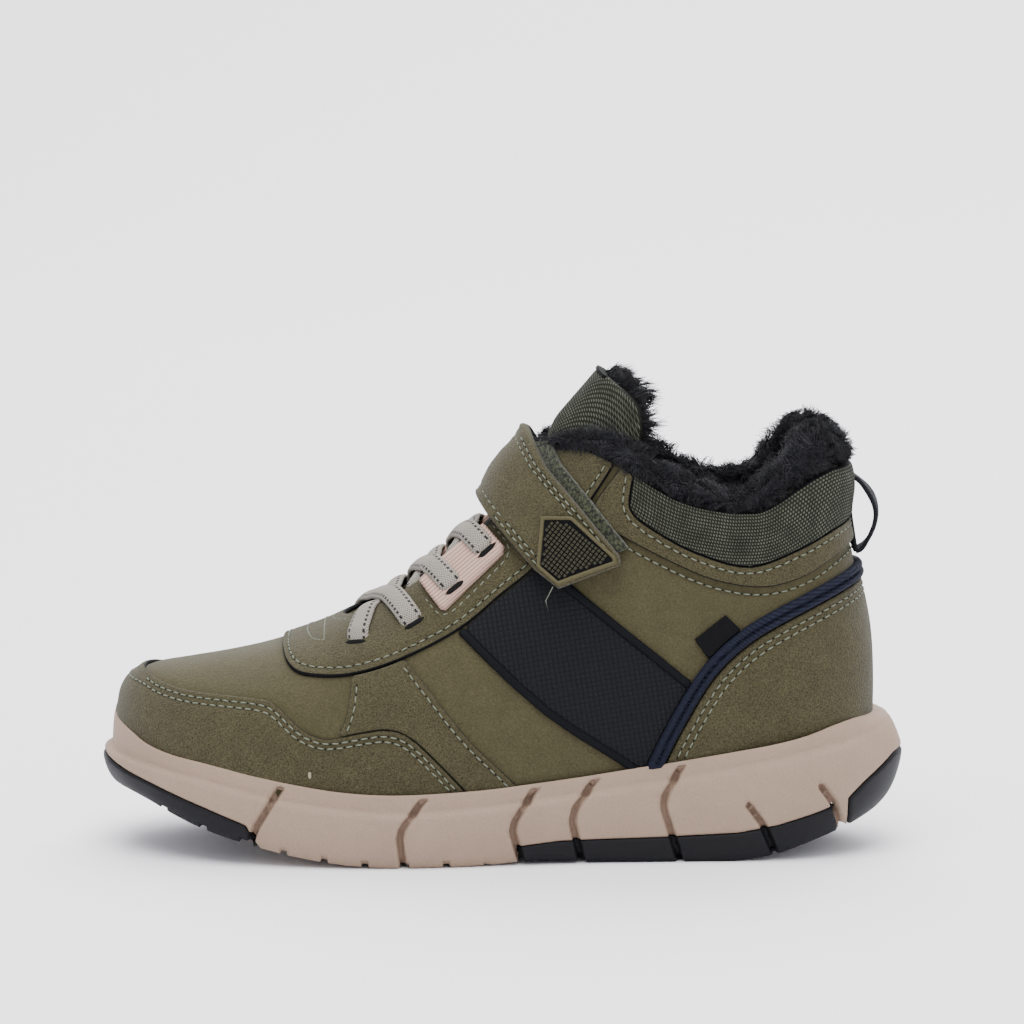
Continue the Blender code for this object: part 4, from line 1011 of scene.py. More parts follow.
def sew(field, level, lift, where=None, skin=UPPER):
    """Notes a row of stitches along a level of a field, where another field is positive."""
    values = field(skin.points)
    values = np.hstack((values, values[:, :1]))
    for line in level_lines(values, level):
        points = skin.place(line[:, 0], line[:, 1], lift)
        keep = np.ones(len(line), dtype=bool) if where is None else where(points) > 0
        start = None
        for index, kept in enumerate(list(keep) + [False]):
            if kept and start is None:
                start = index
            if not kept and start is not None:
                if index - start > 4:
                    SEAMS.append((skin, line[start:index], lift, 1.0))
                start = None


def spots_at(points, side="outer", lift=0.0):
    """Rows and columns of the upper whose places a lift above it are at given points.

    The points are in side view, or in plan for its top.
    """
    points = np.asarray(points, dtype=float)
    half = COLUMNS // 2
    first, last, axis = {"outer": (0, half + 1, 2), "inner": (half, COLUMNS, 2),
                         "top": (half - 34, half + 34, 1)}[side]
    grid = UPPER.points[:, first:last]
    spots = []
    for along_x, other in points:
        miss = (grid[..., 0] - along_x) ** 2 + (grid[..., axis] - other) ** 2
        spots.append(np.unravel_index(miss.argmin(), miss.shape))
    spots = np.array(spots, dtype=float)
    spots[:, 1] += first

    def shown(rows, columns):
        return UPPER.place(rows, columns, lift)[:, (0, axis)]

    for _ in range(12):
        rows, columns = spots.T
        here = shown(rows, columns)
        by_row = (shown(rows + 0.2, columns) - here) / 0.2
        by_column = (shown(rows, columns + 0.2) - here) / 0.2
        miss = points - here
        size = by_row[:, 0] * by_column[:, 1] - by_row[:, 1] * by_column[:, 0]
        size = np.where(np.abs(size) < 1e-3, 1e-3, size)
        step = np.column_stack((miss[:, 0] * by_column[:, 1] - miss[:, 1] * by_column[:, 0],
                                by_row[:, 0] * miss[:, 1] - by_row[:, 1] * miss[:, 0]))
        spots += np.clip(step / size[:, None], -1.5, 1.5) * 0.7
    return spots


def seam_from(points, lift):
    """Notes a row of small stitches along points in plan over the top of the upper."""
    line = even_points(smooth_rows(points, 6), 48)
    SEAMS.append((UPPER, spots_at(line, "top", lift), lift, 0.45))


def tube_faces(rings, sides):
    """Faces of a tube of rings with both ends closed."""
    faces = []
    for ring in range(rings - 1):
        for spot in range(sides):
            a, b = ring * sides + spot, ring * sides + (spot + 1) % sides
            faces.append((a, b, b + sides, a + sides))
    faces.append(tuple(reversed(range(sides))))
    faces.append(tuple(range((rings - 1) * sides, rings * sides)))
    return faces


def capsule(rings=5, sides=6):
    """Points and faces of a small rounded bar along X from -0.5 to 0.5."""
    points = []
    for ring in range(rings):
        x = -0.5 + ring / (rings - 1)
        taper = (2 * x) ** 4
        size = math.sqrt(max(1 - taper, 0.0)) * 0.5 + 0.12
        for spot in range(sides):
            angle = 2 * math.pi * spot / sides
            points.append((x, math.cos(angle) * size, math.sin(angle) * size - taper * 0.35))
    return np.array(points), [face[::-1] for face in tube_faces(rings, sides)]


def copies(name, shape, places, finish, smooth=True):
    """One piece of many copies of a small shape, each by its own axes."""
    points, faces = shape
    all_points, all_faces = [], []
    for number, (middle, axes) in enumerate(places):
        all_points.append(points @ axes + middle)
        shift = number * len(points)
        all_faces.extend([tuple(index + shift for index in face) for face in faces])
    item = add_mesh(name, np.vstack(all_points), all_faces, smooth)
    item.data.materials.append(finish)
    return item


def strands(name, roots, tips, bends, width, finish):
    """Tapered hairs from roots to tips, bowed by their bends."""
    count = len(roots)
    run = unit(tips - roots)
    side = unit(np.cross(run, np.tile((0.31, 0.52, 0.79), (count, 1))))
    other = np.cross(run, side)
    rings = []
    for part, size in ((0.0, 1.0), (0.55, 0.8)):
        middle = roots + (tips - roots) * part + bends * (4 * part * (1 - part))
        for spot in range(3):
            angle = 2 * math.pi * spot / 3
            rings.append(middle + (side * math.cos(angle) + other * math.sin(angle))
                         * (width * size / 2))
    rings.append(tips)
    points = np.stack(rings, axis=1).reshape(-1, 3)
    pattern = []
    for spot in range(3):
        following = (spot + 1) % 3
        pattern.append((spot, following, 3 + following, 3 + spot))
        pattern.append((3 + spot, 3 + following, 6))
    pattern.append((2, 1, 0))
    faces = [tuple(index + number * 7 for index in face)
             for number in range(count) for face in pattern]
    item = add_mesh(name, points, faces)
    item.data.materials.append(finish)
    return item


def swept_band(name, path, normals, width, thickness, finish, crown=0.25, steps=6):
    """A flat band with rounded edges along a path, mapped in millimetres."""
    tangent = unit(np.gradient(path, axis=0))
    side = unit(np.cross(tangent, normals))
    out = np.cross(side, tangent)
    half, thick = width / 2, thickness / 2
    shape = []
    for step in range(steps + 1):
        part = -1 + 2 * step / steps
        shape.append((part * (half - thick * 0.6), thick + crown * (1 - part ** 2)))
    shape.append((half, 0.0))
    for step in range(steps + 1):
        part = 1 - 2 * step / steps
        shape.append((part * (half - thick * 0.6), -thick + crown * (1 - part ** 2) * 0.6))
    shape.append((-half, 0.0))
    count = len(shape)
    lengths = run_lengths(path)
    points = np.vstack([path[i] + side[i] * a + out[i] * b
                        for i in range(len(path)) for a, b in shape])
    faces = tube_faces(len(path), count)
    uv = [(shape[index % count][0], lengths[index // count]) for face in faces for index in face]
    item = add_mesh(name, points, faces)
    item.data.uv_layers.new(name="UVMap").data.foreach_set("uv", np.array(uv).ravel())
    item.data.materials.append(finish)
    return item


# What a user sets

class BootSizes(bpy.types.PropertyGroup):
    cell: bpy.props.FloatProperty(
        name="Cell", description="Spacing of points on the leather, in millimetres",
        default=1.55, min=0.6, max=4.0)
    stitch_pitch: bpy.props.FloatProperty(
        name="Stitch pitch", description="From one stitch to the next, in millimetres",
        default=2.75, min=1.5, max=6.0)
    stitch_length: bpy.props.FloatProperty(
        name="Stitch length", description="Length of the thread that shows, in millimetres",
        default=2.0, min=0.8, max=5.0)
    thread: bpy.props.FloatProperty(
        name="Thread", description="Thickness of the sewing thread, in millimetres",
        default=0.36, min=0.2, max=1.5)
    pile_length: bpy.props.FloatProperty(
        name="Pile length", description="Length of the hairs at the collar, in millimetres",
        default=5.6, min=1.0, max=15.0)
    pile_count: bpy.props.IntProperty(
        name="Tufts", description="Tufts of pile round the collar", default=1500, min=100,
        max=4000)


def colour(name, description, code):
    return bpy.props.FloatVectorProperty(name=name, description=description, size=3,
                                         subtype="COLOR", default=linear(code))


class BootColours(bpy.types.PropertyGroup):
    nubuck_dark: colour("Nubuck, dark", "Deep tone of the overlays", "383424")
    nubuck_light: colour("Nubuck, light", "Rubbed tone of the overlays", "433F2C")
    smooth_dark: colour("Smooth nubuck, dark", "Deep tone of the vamp and sides", "3B3726")
    smooth_light: colour("Smooth nubuck, light", "Rubbed tone of the vamp and sides", "46422E")
    foam: colour("Foam", "Midsole", "917C6B")
    foam_shade: colour("Foam, shade", "Dusty tone of the midsole", "867262")
    rubber: colour("Rubber", "Treads", "111114")
    ripstop: colour("Ripstop", "Dark side band", "101115")
    ripstop_line: colour("Ripstop thread", "Thick threads of the band", "060608")
    tape_dark: colour("Seam tape, dark", "Shade of the navy tape", "0C0E18")
    tape_light: colour("Seam tape, light", "Light of the navy tape", "1A1E30")
    mesh_dark: colour("Mesh, dark", "Ground of the woven mesh", "14160F")
    mesh_thread: colour("Mesh thread", "Light thread of the woven mesh", "5D5F53")
    # Pile colours: the dark one is the roots' tone with painted shade deep in the pile, the light
    # one the hairs' own tone with painted highlights
    pile_root_and_shade: colour("Pile, root", "Depth of the pile", "0E0E11")
    pile_tip_and_highlight: colour("Pile, tip", "Ends of the hairs", "232328")
    thread: colour("Thread", "Sewing thread", "626859")
    lace_light: colour("Lace, light", "Light cords of the lace", "A59E93")
    lace_dark: colour("Lace, dark", "Shade between the cords", "746D64")
    holder: colour("Lace holder", "Ribbed tape", "AF9285")
    backdrop: colour("Backdrop", "Floor and wall", "F6F5F8")


def settings():
    return bpy.context.scene.boot_sizes, bpy.context.scene.boot_colours


FINISHES = {}


def finish(name):
    """A material of the boot, made once."""
    if name in FINISHES:
        return FINISHES[name]
    _, c = settings()
    makers = {
        "nubuck": lambda: nubuck_material("buffed_nubuck", c.nubuck_dark, c.nubuck_light,
                                          0.4, 0.2, 0.55),
        "smooth": lambda: nubuck_material("waxed_nubuck", c.smooth_dark, c.smooth_light,
                                          0.5, 0.1, 0.25),
        # Black for cut edges: real edge paint, and on the quarter patches and collar bands also a
        # painted shadow line
        "edge": lambda: rubber_material("edge_paint_and_shadow_line", linear("0E0E10"), 0.7, 0.06),
        # Lace slots: dark marks of painted shade in the openings the lace goes into
        "slot": lambda: rubber_material("lace_slot", linear("0A0A0A"), 0.9),
        "foam": lambda: foam_material("moulded_eva_foam", c.foam, c.foam_shade),
        # Darker foam for the faces deep in the side grooves: painted shade inside them
        "groove": lambda: foam_material("groove_shade_foam", linear("7E6959"), linear("725E50")),
        "rubber": lambda: rubber_material("moulded_rubber", c.rubber),
        "patch": lambda: rubber_material("moulded_patch_rubber", linear("2E2D21"), 0.7),
        "patch_rim": lambda: rubber_material("patch_rim_rubber", linear("4A4530"), 0.7),
        "ripstop": lambda: ripstop_material("coated_ripstop", c.ripstop, c.ripstop_line),
        "border": lambda: rubber_material("welded_border", linear("0E0F12"), 0.65, 0.06),
        "tape": lambda: tape_material("navy_tape", c.tape_dark, c.tape_light),
        "webbing": lambda: tape_material("black_webbing", linear("09090B"), linear("1E1F24"),
                                         0.9),
        "mesh": lambda: woven_mesh_material("coarse_mesh", c.mesh_dark, c.mesh_thread),
        # Pile: painted shade in the hollows of its tufts, painted highlights on their tops
        "pile": lambda: grained_material("deep_pile", c.pile_root_and_shade, c.pile_tip_and_highlight, (0.8, 0.1, 0.1),
                                         (2.2, 4.0, 0.7), (0.35, 0.7), 0.8),
        "hook": lambda: grained_material("loop_tape", linear("0D0F0A"), linear("4A4E38"),
                                         (0.9, 0.2, 0.2), (0.9, 4.0, 0.75), (0.42, 0.66), 0.6),
        "thread": lambda: grained_material("sewing_thread", linear("666C5D"), c.thread,
                                           (0.6, 0.35), (0.35, 2.0), (0.35, 0.65), 0.0),
        "scuff": lambda: rubber_material("scuffed_nap", linear("8F8873"), 0.9),
        # Needle holes: a dark mark of painted shade inside each hole
        "hole": lambda: rubber_material("needle_hole", linear("12120E"), 0.9),
        "lace": lambda: lace_material("elastic_braid", c.lace_light, c.lace_dark,
                                      linear("1C1C1E")),
        "holder": lambda: ribbed_material("ribbed_tape", linear("86695B"), c.holder),
    }
    FINISHES[name] = makers[name]()
    return FINISHES[name]


# Pieces

class BOOT_OT_stage(bpy.types.Operator):
    """Pale floor that turns up into a wall, soft lamps and the camera"""
    bl_idname = "boot.stage"
    bl_label = "Stage"

    def execute(self, context):
        _, c = settings()
        deselect()
        path = [(FLOOR_NEAR, 0.0), (FLOOR_FAR, 0.0)]
        for step in range(1, FLOOR_STEPS + 1):
            angle = math.pi / 2 * step / FLOOR_STEPS
            path.append((FLOOR_FAR + FLOOR_CURVE * math.sin(angle),
                         FLOOR_CURVE * (1 - math.cos(angle))))
        path.append((FLOOR_FAR + FLOOR_CURVE, WALL_TOP))
        points = [(x, y, z) for x in (-FLOOR_HALF, FLOOR_HALF) for y, z in path]
        count = len(path)
        faces = [(i, i + count, i + count + 1, i + 1) for i in range(count - 1)]
        floor = add_mesh("floor", points, faces)
        floor.data.materials.append(Paint("backdrop_paper", 0.9, 0.2).finished(c.backdrop))
        for name, place, size, power in LAMPS:
            data = bpy.data.lights.new(name, "AREA")
            data.size = size
            data.energy = power
            lamp = bpy.data.objects.new(name, data)
            lamp.location = place
            to_target = LAMP_TARGET - lamp.location
            lamp.rotation_euler = to_target.to_track_quat("-Z", "Y").to_euler()
            context.scene.collection.objects.link(lamp)
        world = bpy.data.worlds.new("soft_room")
        world.use_nodes = True
        light = world.node_tree.nodes["Background"].inputs
        light["Color"].default_value = ROOM_LIGHT
        light["Strength"].default_value = ROOM_STRENGTH
        context.scene.world = world
        camera = bpy.data.objects.new("camera", bpy.data.cameras.new("camera"))
        camera.data.lens = CAMERA_LENS
        camera.data.sensor_width = CAMERA_SENSOR
        camera.location = CAMERA_PLACE
        camera.rotation_euler = (math.radians(CAMERA_TILT), 0.0, 0.0)
        context.scene.collection.objects.link(camera)
        context.scene.camera = camera
        return {"FINISHED"}


def groove_distance(points):
    """Distance in side view to the nearest groove of the sole's side."""
    return np.minimum.reduce([distance_to_line(points[..., 0], points[..., 2],
                                               side_view(line)) for line in SIDE_GROOVES])


def groove_depth(points):
    """How far the sole's side grooves cut in."""
    rim = smooth_share((rim_height(points[..., 0]) - 0.8 - points[..., 2]) / 1.6)
    return GROOVE_DEPTH * rim * smooth_share((GROOVE_REACH[2] - groove_distance(points))
                                             / (GROOVE_REACH[2] - GROOVE_REACH[0]))


def tread_distance(points):
    """Distance along X to the middle of the nearest cut across the tread."""
    pitch = LENGTH * TREAD_PITCH / 100
    first = -LENGTH * TREAD_REACH / 200 + TREAD_GROOVE / 2
    return np.abs((points[..., 0] - first - pitch / 2) % pitch - pitch / 2)


def ground(x):
    """Height of the sole's underside at a place along the length."""
    rows = smooth_rows(SOLE, 3)
    return np.interp(x, along(rows[:, 0]), up(np.maximum(rows[:, 3], 0.0)))


def tread_rise(points):
    """How far the cuts across the tread reach up from the underside."""
    x = points[..., 0]
    rows = smooth_rows(SOLE, 3)
    outer = np.interp(x, along(rows[:, 0]), across(rows[:, 1] - rows[:, 6]))
    inner = np.interp(x, along(rows[:, 0]), across(rows[:, 2] - rows[:, 6]))
    y = points[..., 1] - SIDE_SHIFT
    from_edge = np.minimum(y + outer, inner - y)
    heel = smooth_share((x + 8.0) / 6.0)
    low = np.clip(1 - (points[..., 2] - ground(x)) / TREAD_DEPTH, 0.0, 1.0)
    reach = np.minimum(low * 3, 1.0) * (1 - heel) + smooth_share((from_edge - 1) / 2) * heel
    depth = TREAD_DEPTH * (0.45 + 0.55 * smooth_share((from_edge - 1) / 3))
    cut = smooth_share((TREAD_CUTS[1] - tread_distance(points))
                       / (TREAD_CUTS[1] - TREAD_CUTS[0]))
    return cut * (np.abs(x) < LENGTH * TREAD_REACH / 200) * depth * reach


class BOOT_OT_sole(bpy.types.Operator):
    """Foam midsole and the three rubber treads, with their steps, grooves and cuts"""
    bl_idname = "boot.sole"
    bl_label = "Sole"

    def execute(self, context):
        shapes = {"outsole_toe": side_view(TOE_RUBBER), "outsole_heel": side_view(HEEL_RUBBER),
                  "outsole_rear": side_view(REAR_RUBBER)}
        skin = SOLE_FORM

        cuts = ((groove_distance, GROOVE_REACH), (tread_distance, TREAD_CUTS))

        def relief(points):
            return np.maximum(groove_depth(points), tread_rise(points))

        foam = layer("midsole_foam", skin,
                     lambda p: least(*[-inside(p, shape) - 0.25 for shape in shapes.values()]),
                     lambda p, s: -relief(p) - 0.5 * smooth_share(1 - s / 0.5) * (s < 20),
                     lambda p, s: -relief(p) - 1.6, cell=1.5, edge_rows=(0.25, 0.6),
                     seam_rows=cuts, finish=finish("foam"),
                     # faces deep in a side groove take the darker foam: painted shade
                     inlay=(lambda p: groove_depth(p) > GROOVE_DEPTH * 0.25,
                            finish("groove")))
        dress(foam, nodes=("midsole",))
        for name, shape in shapes.items():
            tread = layer(name + "_rubber", skin, lambda p, shape=shape: inside(p, shape),
                          lambda p, s: 0.25 * smooth_share((p[..., 2] - ground(p[..., 0])) / 2.0)
                          - relief(p) - 0.4 * smooth_share(1 - s / 0.6),
                          lambda p, s: -relief(p) - 1.5, cell=1.4, edge_rows=(0.2, 0.6),
                          seam_rows=cuts, finish=finish("rubber"))
            dress(tread, nodes=(name,))
        return {"FINISHED"}


class BOOT_OT_upper(bpy.types.Operator):
    """Hollow upper of smooth nubuck with its dark lining"""
    bl_idname = "boot.upper"
    bl_label = "Upper"

    def execute(self, context):
        sizes, _ = settings()

        def field(p):
            low = p[..., 2] - rim_height(p[..., 0]) + 7.0
            return least(low, outside_throat(p), under_collar(p))

        def height(p, s):
            swell = 0.35 * ripple(p, 34.0, 3)
            dip = pull_down(inside(p, BAND), -2.2) + 0.5 * np.exp(-(inside(p, BAND) / 0.5) ** 2)
            return swell - dip - 0.5 * smooth_share(1 - s / 0.8)

        upper = layer("upper_shell", UPPER, field, height, -WALL, cell=sizes.cell,
                      finish=finish("smooth"), inside_finish=finish("pile"))
        dress(upper, nodes=("upper",))
        sew(lambda p: inside(p, BAND), -2.2, 0.05,
            lambda p: least(clear_of(p, PIPE), clear_of(p, EYESTAY), clear_of(p, STRAP_SHAPE),
                            3.0 - np.abs(inside(p, BAND) + 2.2), under_collar(p) - 12.0))
        return {"FINISHED"}


class BOOT_OT_panels(bpy.types.Operator):
    """Toe guard, eyestay, quarter patches, ripstop bands, piping, counter and collar bands"""
    bl_idname = "boot.panels"
    bl_label = "Sewn panels"

    def execute(self, context):
        sizes, _ = settings()
        gap = SEAM_GAP

        def suede(name, field, own, rows, nodes, reach=0.12):
            """A panel of nubuck with its rows of stitches, at levels of its own outline."""
            def height(p, s):
                value = gap + rounded_edge(s, SUEDE) + 0.12 * ripple(p, 21.0, 8)
                for level in rows:
                    value -= pull_down(own(p), level, 0.28, 0.75) * (s > 0.5)
                return value

            # The cut edge and the top as far as reach take the black edge finish: edge paint, and
            # on the quarter patches and collar bands a painted shadow line
            item = layer(name, UPPER, field, height, 0.0, cell=sizes.cell,
                         seam_rows=[(own, rows)], finish=finish("nubuck"),
                         edge_finish=finish("edge"), edge_reach=reach)
            for level in rows:
                sew(own, level, gap + SUEDE - 0.2, lambda p: field(p) - 0.8)
            return dress(item, nodes=nodes)

        suede("toe_guard_nubuck", lambda p: least(inside(p, GUARD), above_rim(p)),
              lambda p: inside(p, GUARD), (1.5, 2.9), ("toe_guard",))

        def eyestay_field(p):
            return least(inside(p, EYESTAY), outside_throat(p), under_collar(p))

        suede("eyestay_nubuck", eyestay_field, lambda p: inside(p, EYESTAY), (1.9,), ("eyestay",),
              reach=0.35)

        for line in (((0.4, -19.0), (0.0, 0.0), (0.4, 19.0)),
                     ((0.4, -19.0), (-3.2, -15.0), (-4.9, -6.0), (-5.1, 0.0), (-4.9, 6.0),
                      (-3.2, 15.0), (0.4, 19.0))):
            seam_from(np.array(line) + (THROAT_FRONT - 6.0, SIDE_SHIFT), gap + SUEDE - 0.1)
        sew(outside_throat, 3.4, gap + SUEDE - 0.2,
            lambda p: THROAT_FRONT + 1.6 - p[..., 0])
        for side in ("outer", "inner"):
            suede(f"quarter_patch_{side}_nubuck",
                  lambda p: least(inside(p, QUARTER), above_rim(p), clear_of(p, GUARD),
                                  clear_of(p, EYESTAY), on_side(p, side)),
                  lambda p: inside(p, QUARTER), (1.7,), (f"quarter_patch_{side}",))

            def dark_field(p):
                return least(inside(p, DARK), above_rim(p), clear_of(p, EYESTAY),
                             clear_of(p, BEHIND_PIPING, PIPING / 2), on_side(p, side))

            band = layer(f"ripstop_band_{side}", UPPER, dark_field,
                         lambda p, s: gap + rounded_edge(s, RIPSTOP, 0.4), 0.0,
                         cell=sizes.cell, finish=finish("ripstop"))
            dress(band, nodes=(f"dark_panel_{side}",))
            for end, line in (("front", side_view(DARK_FRONT, 3)),
                              ("rear", side_view(DARK_REAR, 3))):
                border = layer(
                    f"band_border_{end}_{side}", UPPER,
                    lambda p: least(BORDER - distance_to_line(p[..., 0], p[..., 2],
                                                              moved_aside(line, -1.0)),
                                    above_rim(p), clear_of(p, EYESTAY),
                                    clear_of(p, BEHIND_PIPING, PIPING / 2), on_side(p, side)),
                    lambda p, s: gap + 0.3 + rounded_edge(s, 1.0, 1.0, 0.2), 0.1,
                    cell=1.0, finish=finish("border"))
                dress(border)
            suede(f"collar_band_{side}_nubuck",
                  lambda p: least(inside(p, BAND), clear_of(p, EYESTAY), under_collar(p),
                                  on_side(p, side) + 0.4),
                  lambda p: -inside(p, PAD), (2.0,), (f"collar_band_{side}",), reach=0.35)

            def pad_field(p):
                return least(inside(p, PAD), clear_of(p, EYESTAY, 0.8), under_collar(p),
                             on_side(p, side) + 0.4)

            pad = layer(f"collar_pad_{side}_mesh", UPPER, pad_field,
                        lambda p, s: gap + rounded_edge(s, COLLAR_PAD, 1.2, 0.2)
                        + 1.5 * smooth_share(least(inside(p, PAD), under_collar(p) + 4.0) / 9.0),
                        0.0, cell=sizes.cell, finish=finish("mesh"), edge_finish=finish("edge"),
                        edge_reach=0.35,
                        chart=lambda p, mm: np.column_stack((mm[:, 0], under_collar(p))))
            dress(pad, nodes=(f"collar_pad_{side}",))

        def pipe_height(_, s):
            return gap + rounded_edge(s, PIPING_RISE, 1.1, 0.25) \
                - 1.2 * smooth_share((s - 1.5) / 0.55)

        piping = layer("seam_piping", UPPER, lambda p: least(inside(p, PIPE), above_rim(p)),
                       pipe_height, 0.0, cell=0.9, edge_rows=(0.15, 0.45, 1.1, 1.6, 2.0),
                       finish=finish("tape"))
        dress(piping, nodes=("heel_piping",))

        def counter_own(p):
            return inside(p, BEHIND_PIPING) - PIPING / 2 - CLEARANCE

        suede("heel_counter_nubuck", lambda p: least(counter_own(p), above_rim(p)), counter_own,
              (2.2, 4.1), ("heel_counter",))

        tag = layer("size_tab", UPPER, lambda p: least(inside(p, TAG_SHAPE), on_side(p, "outer"),
                                                       clear_of(p, PIPE, 0.1)),
                    lambda p, s: 0.3 + rounded_edge(s, TAG, 0.5), 0.0, cell=0.7,
                    finish=finish("edge"))
        dress(tag, nodes=("size_tag",))
        return {"FINISHED"}


class BOOT_OT_tongue(bpy.types.Operator):
    """Tongue of woven mesh with pile on its back"""
    bl_idname = "boot.tongue"
    bl_label = "Tongue"

    def execute(self, context):
        outer = WALL + CLEARANCE

        tongue = layer("tongue_mesh", UPPER, inside_tongue,
                       lambda p, s: -outer - 1.2 + rounded_edge(s, 1.2, 2.0, 0.0)
                       + 0.3 * ripple(p, 18.0, 5),
                       -outer - TONGUE, finish=finish("mesh"), inside_finish=finish("pile"),
                       chart=lambda p, mm: np.column_stack((p[:, 1] - SIDE_SHIFT, mm[:, 1])))
        dress(tongue, nodes=("tongue",))
        binding = layer("tongue_binding", UPPER,
                        lambda p: least(0.55 - np.abs(inside_tongue(p) - 0.55),
                                        p[..., 2] - up(80.0),
                                        12.0 - np.abs(p[..., 1] - SIDE_SHIFT)),
                        lambda p, s: -outer + rounded_edge(s, 0.35, 0.5, 0.1), -outer - 1.2,
                        cell=0.7, finish=finish("edge"))
        dress(binding)
        return {"FINISHED"}


def patch_squares(patch_layer):
    """Rows of small squares that stand on the patch, laid out as they are seen."""
    middle = PATCH_SHAPE.mean(axis=0)
    outer = UPPER.points[:, :COLUMNS // 2]
    near = np.argwhere(inside(outer, PATCH_SHAPE) > -2.0)
    flat = outer[near[:, 0], near[:, 1]][:, (0, 2)]

    def terms(flat):
        x, z = (flat - middle).T
        return np.column_stack((np.ones(len(x)), x, z, x * x, x * z, z * z))

    low, high = (UPPER.place(*near.T, patch_layer + off) for off in (0.0, 1.0))
    shown = low[:, (0, 2)]
    outline = terms(PATCH_SHAPE) @ np.linalg.lstsq(terms(flat), shown, rcond=None)[0]
    depth_fit = np.linalg.lstsq(terms(shown), low[:, 1], rcond=None)[0]
    out = unit((high - low).mean(axis=0))
    steps = np.arange(-13, 14) * TILE_PITCH
    places = np.array([outline.mean(axis=0) + TILE_ACROSS @ (a, b) for a in steps for b in steps])
    upright = np.column_stack((places[:, 0], np.zeros(len(places)), places[:, 1]))
    places = places[inside(upright, outline) > 1.8]
    centres = np.column_stack((places[:, 0], terms(places) @ depth_fit, places[:, 1]))
    ways = np.insert(TILE_ACROSS.T, 1, 0.0, axis=1)
    axes = np.vstack((ways - np.outer(ways @ out, out), out))
    block = [(x, y, z) for z, half in ((0.0, TILE_FOOT), (1.0, TILE_TOP))
             for x in (-half, half) for y in (-half, half)]
    sides = [(0, 1, 3, 2), (4, 6, 7, 5), (0, 4, 5, 1), (2, 3, 7, 6), (0, 2, 6, 4),
             (1, 5, 7, 3)]
    return copies("patch_squares", (np.array(block), sides),
                  [(centre, axes) for centre in centres], finish("patch"), False)


class BOOT_OT_strap(bpy.types.Operator):
    """Closing strap, its moulded patch and the tape it closes on"""
    bl_idname = "boot.strap"
    bl_label = "Strap"

    def execute(self, context):
        landing = SUEDE + 2 * CLEARANCE
        strap_layer = landing + LANDING + CLEARANCE
        tape = layer("loop_tape", UPPER,
                     lambda p: least(inside(p, LANDING_SHAPE), on_side(p, "outer") + 6.0,
                                     under_collar(p) + 2.0, inside(p, STRAP_SHAPE) + 3.3),
                     lambda p, s: landing + rounded_edge(s, LANDING, 0.6)
                     + 0.2 * ripple(p, 2.0, 4),
                     0.5, cell=0.8, finish=finish("hook"))
        dress(tape, nodes=("strap_landing",))

        def strap_field(p):
            anchor = least(inside(p, ANCHOR), on_side(p, "inner") - 8.0)
            return least(inside(p, STRAP_SHAPE), -anchor)

        def own(p):
            return inside(p, STRAP_SHAPE)

        def bulge(p):
            over = smooth_share(1.25 - np.abs(p[..., 1] - SIDE_SHIFT) / 20.0)
            clear = smooth_share(-inside(p, PATCH_SHAPE) / 6.0)
            return STRAP_BULGE * over * clear * smooth_share((own(p) - 1.0) / 9.0)

        def height(p, s):
            value = strap_layer + rounded_edge(s, STRAP, 0.9, 0.4) + bulge(p)
            for level in STRAP_ROWS:
                value -= pull_down(own(p), level, 0.3, 0.6)
            return value + 0.15 * ripple(p, 16.0, 2)

        strap = layer("strap_nubuck", UPPER, strap_field, height,
                      lambda p, s: strap_layer - 0.2 + bulge(p), cell=1.1,
                      seam_rows=[(own, STRAP_ROWS)], finish=finish("nubuck"),
                      inside_finish=finish("hook"))
        dress(strap, nodes=("strap",))
        for level in STRAP_ROWS:
            sew(own, level, strap_layer + STRAP - 0.12,
                lambda p: least(strap_field(p) - 0.8, clear_of(p, PATCH_SHAPE, -0.5)))
        patch_layer = strap_layer + STRAP

        def patch_field(p):
            return least(inside(p, PATCH_SHAPE), on_side(p, "outer"))

        rim = layer("patch_rim", UPPER, lambda p: least(patch_field(p), 1.2 - patch_field(p)),
                    lambda p, s: patch_layer + rounded_edge(s, PATCH, 0.6, 0.1),
                    patch_layer - 0.8, cell=0.6, finish=finish("patch_rim"))
        dress(rim)

        base = layer("patch_base", UPPER, lambda p: patch_field(p) - 1.0,
                     lambda p, s: patch_layer + 0.5, patch_layer - 0.8, cell=1.2,
                     finish=finish("edge"))
        dress(base, nodes=("strap_patch",))
        dress(patch_squares(patch_layer))
        return {"FINISHED"}


def lace_run(start, end, lifts, middle, from_slot):
    """Rows, columns and heights of one band of the lace.

    It starts in its slot, or in the throat under the band before it, and ends in a slot.
    """
    half = COLUMNS / 2
    if not from_slot:
        edge = UPPER.place(np.full(40, start[0]),
                           np.linspace(half, start[1], 40))[:, 1] - SIDE_SHIFT
        part = np.interp(THROAT_WIDTH / 2 - 0.6, np.abs(edge), np.linspace(0, 1, 40))
        start = np.array((start[0] + 0.5, half + (start[1] - half) * part))
    part = np.linspace(-LACE_TUCK * from_slot, 1 + LACE_TUCK, 48)
    rows, columns = (start[axis] + (end[axis] - start[axis]) * part for axis in (0, 1))
    lift = lifts[0] + (lifts[1] - lifts[0]) * part
    from_middle = np.abs(UPPER.place(rows, columns)[:, 1] - SIDE_SHIFT)
    inward = smooth_share((THROAT_WIDTH / 2 + 1.5 - from_middle) / 9.0)
    height = lift + (middle - lift) * inward
    dive = smooth_share((1 + LACE_TUCK - part) / LACE_DIVE)
    if from_slot:
        dive *= smooth_share((part + LACE_TUCK) / LACE_DIVE)
    else:
        hidden = smooth_share(1 - part / 0.22)
        height = height + (-1.7 - height) * hidden
    return rows, columns, LACE_FLOOR + (height - LACE_FLOOR) * dive


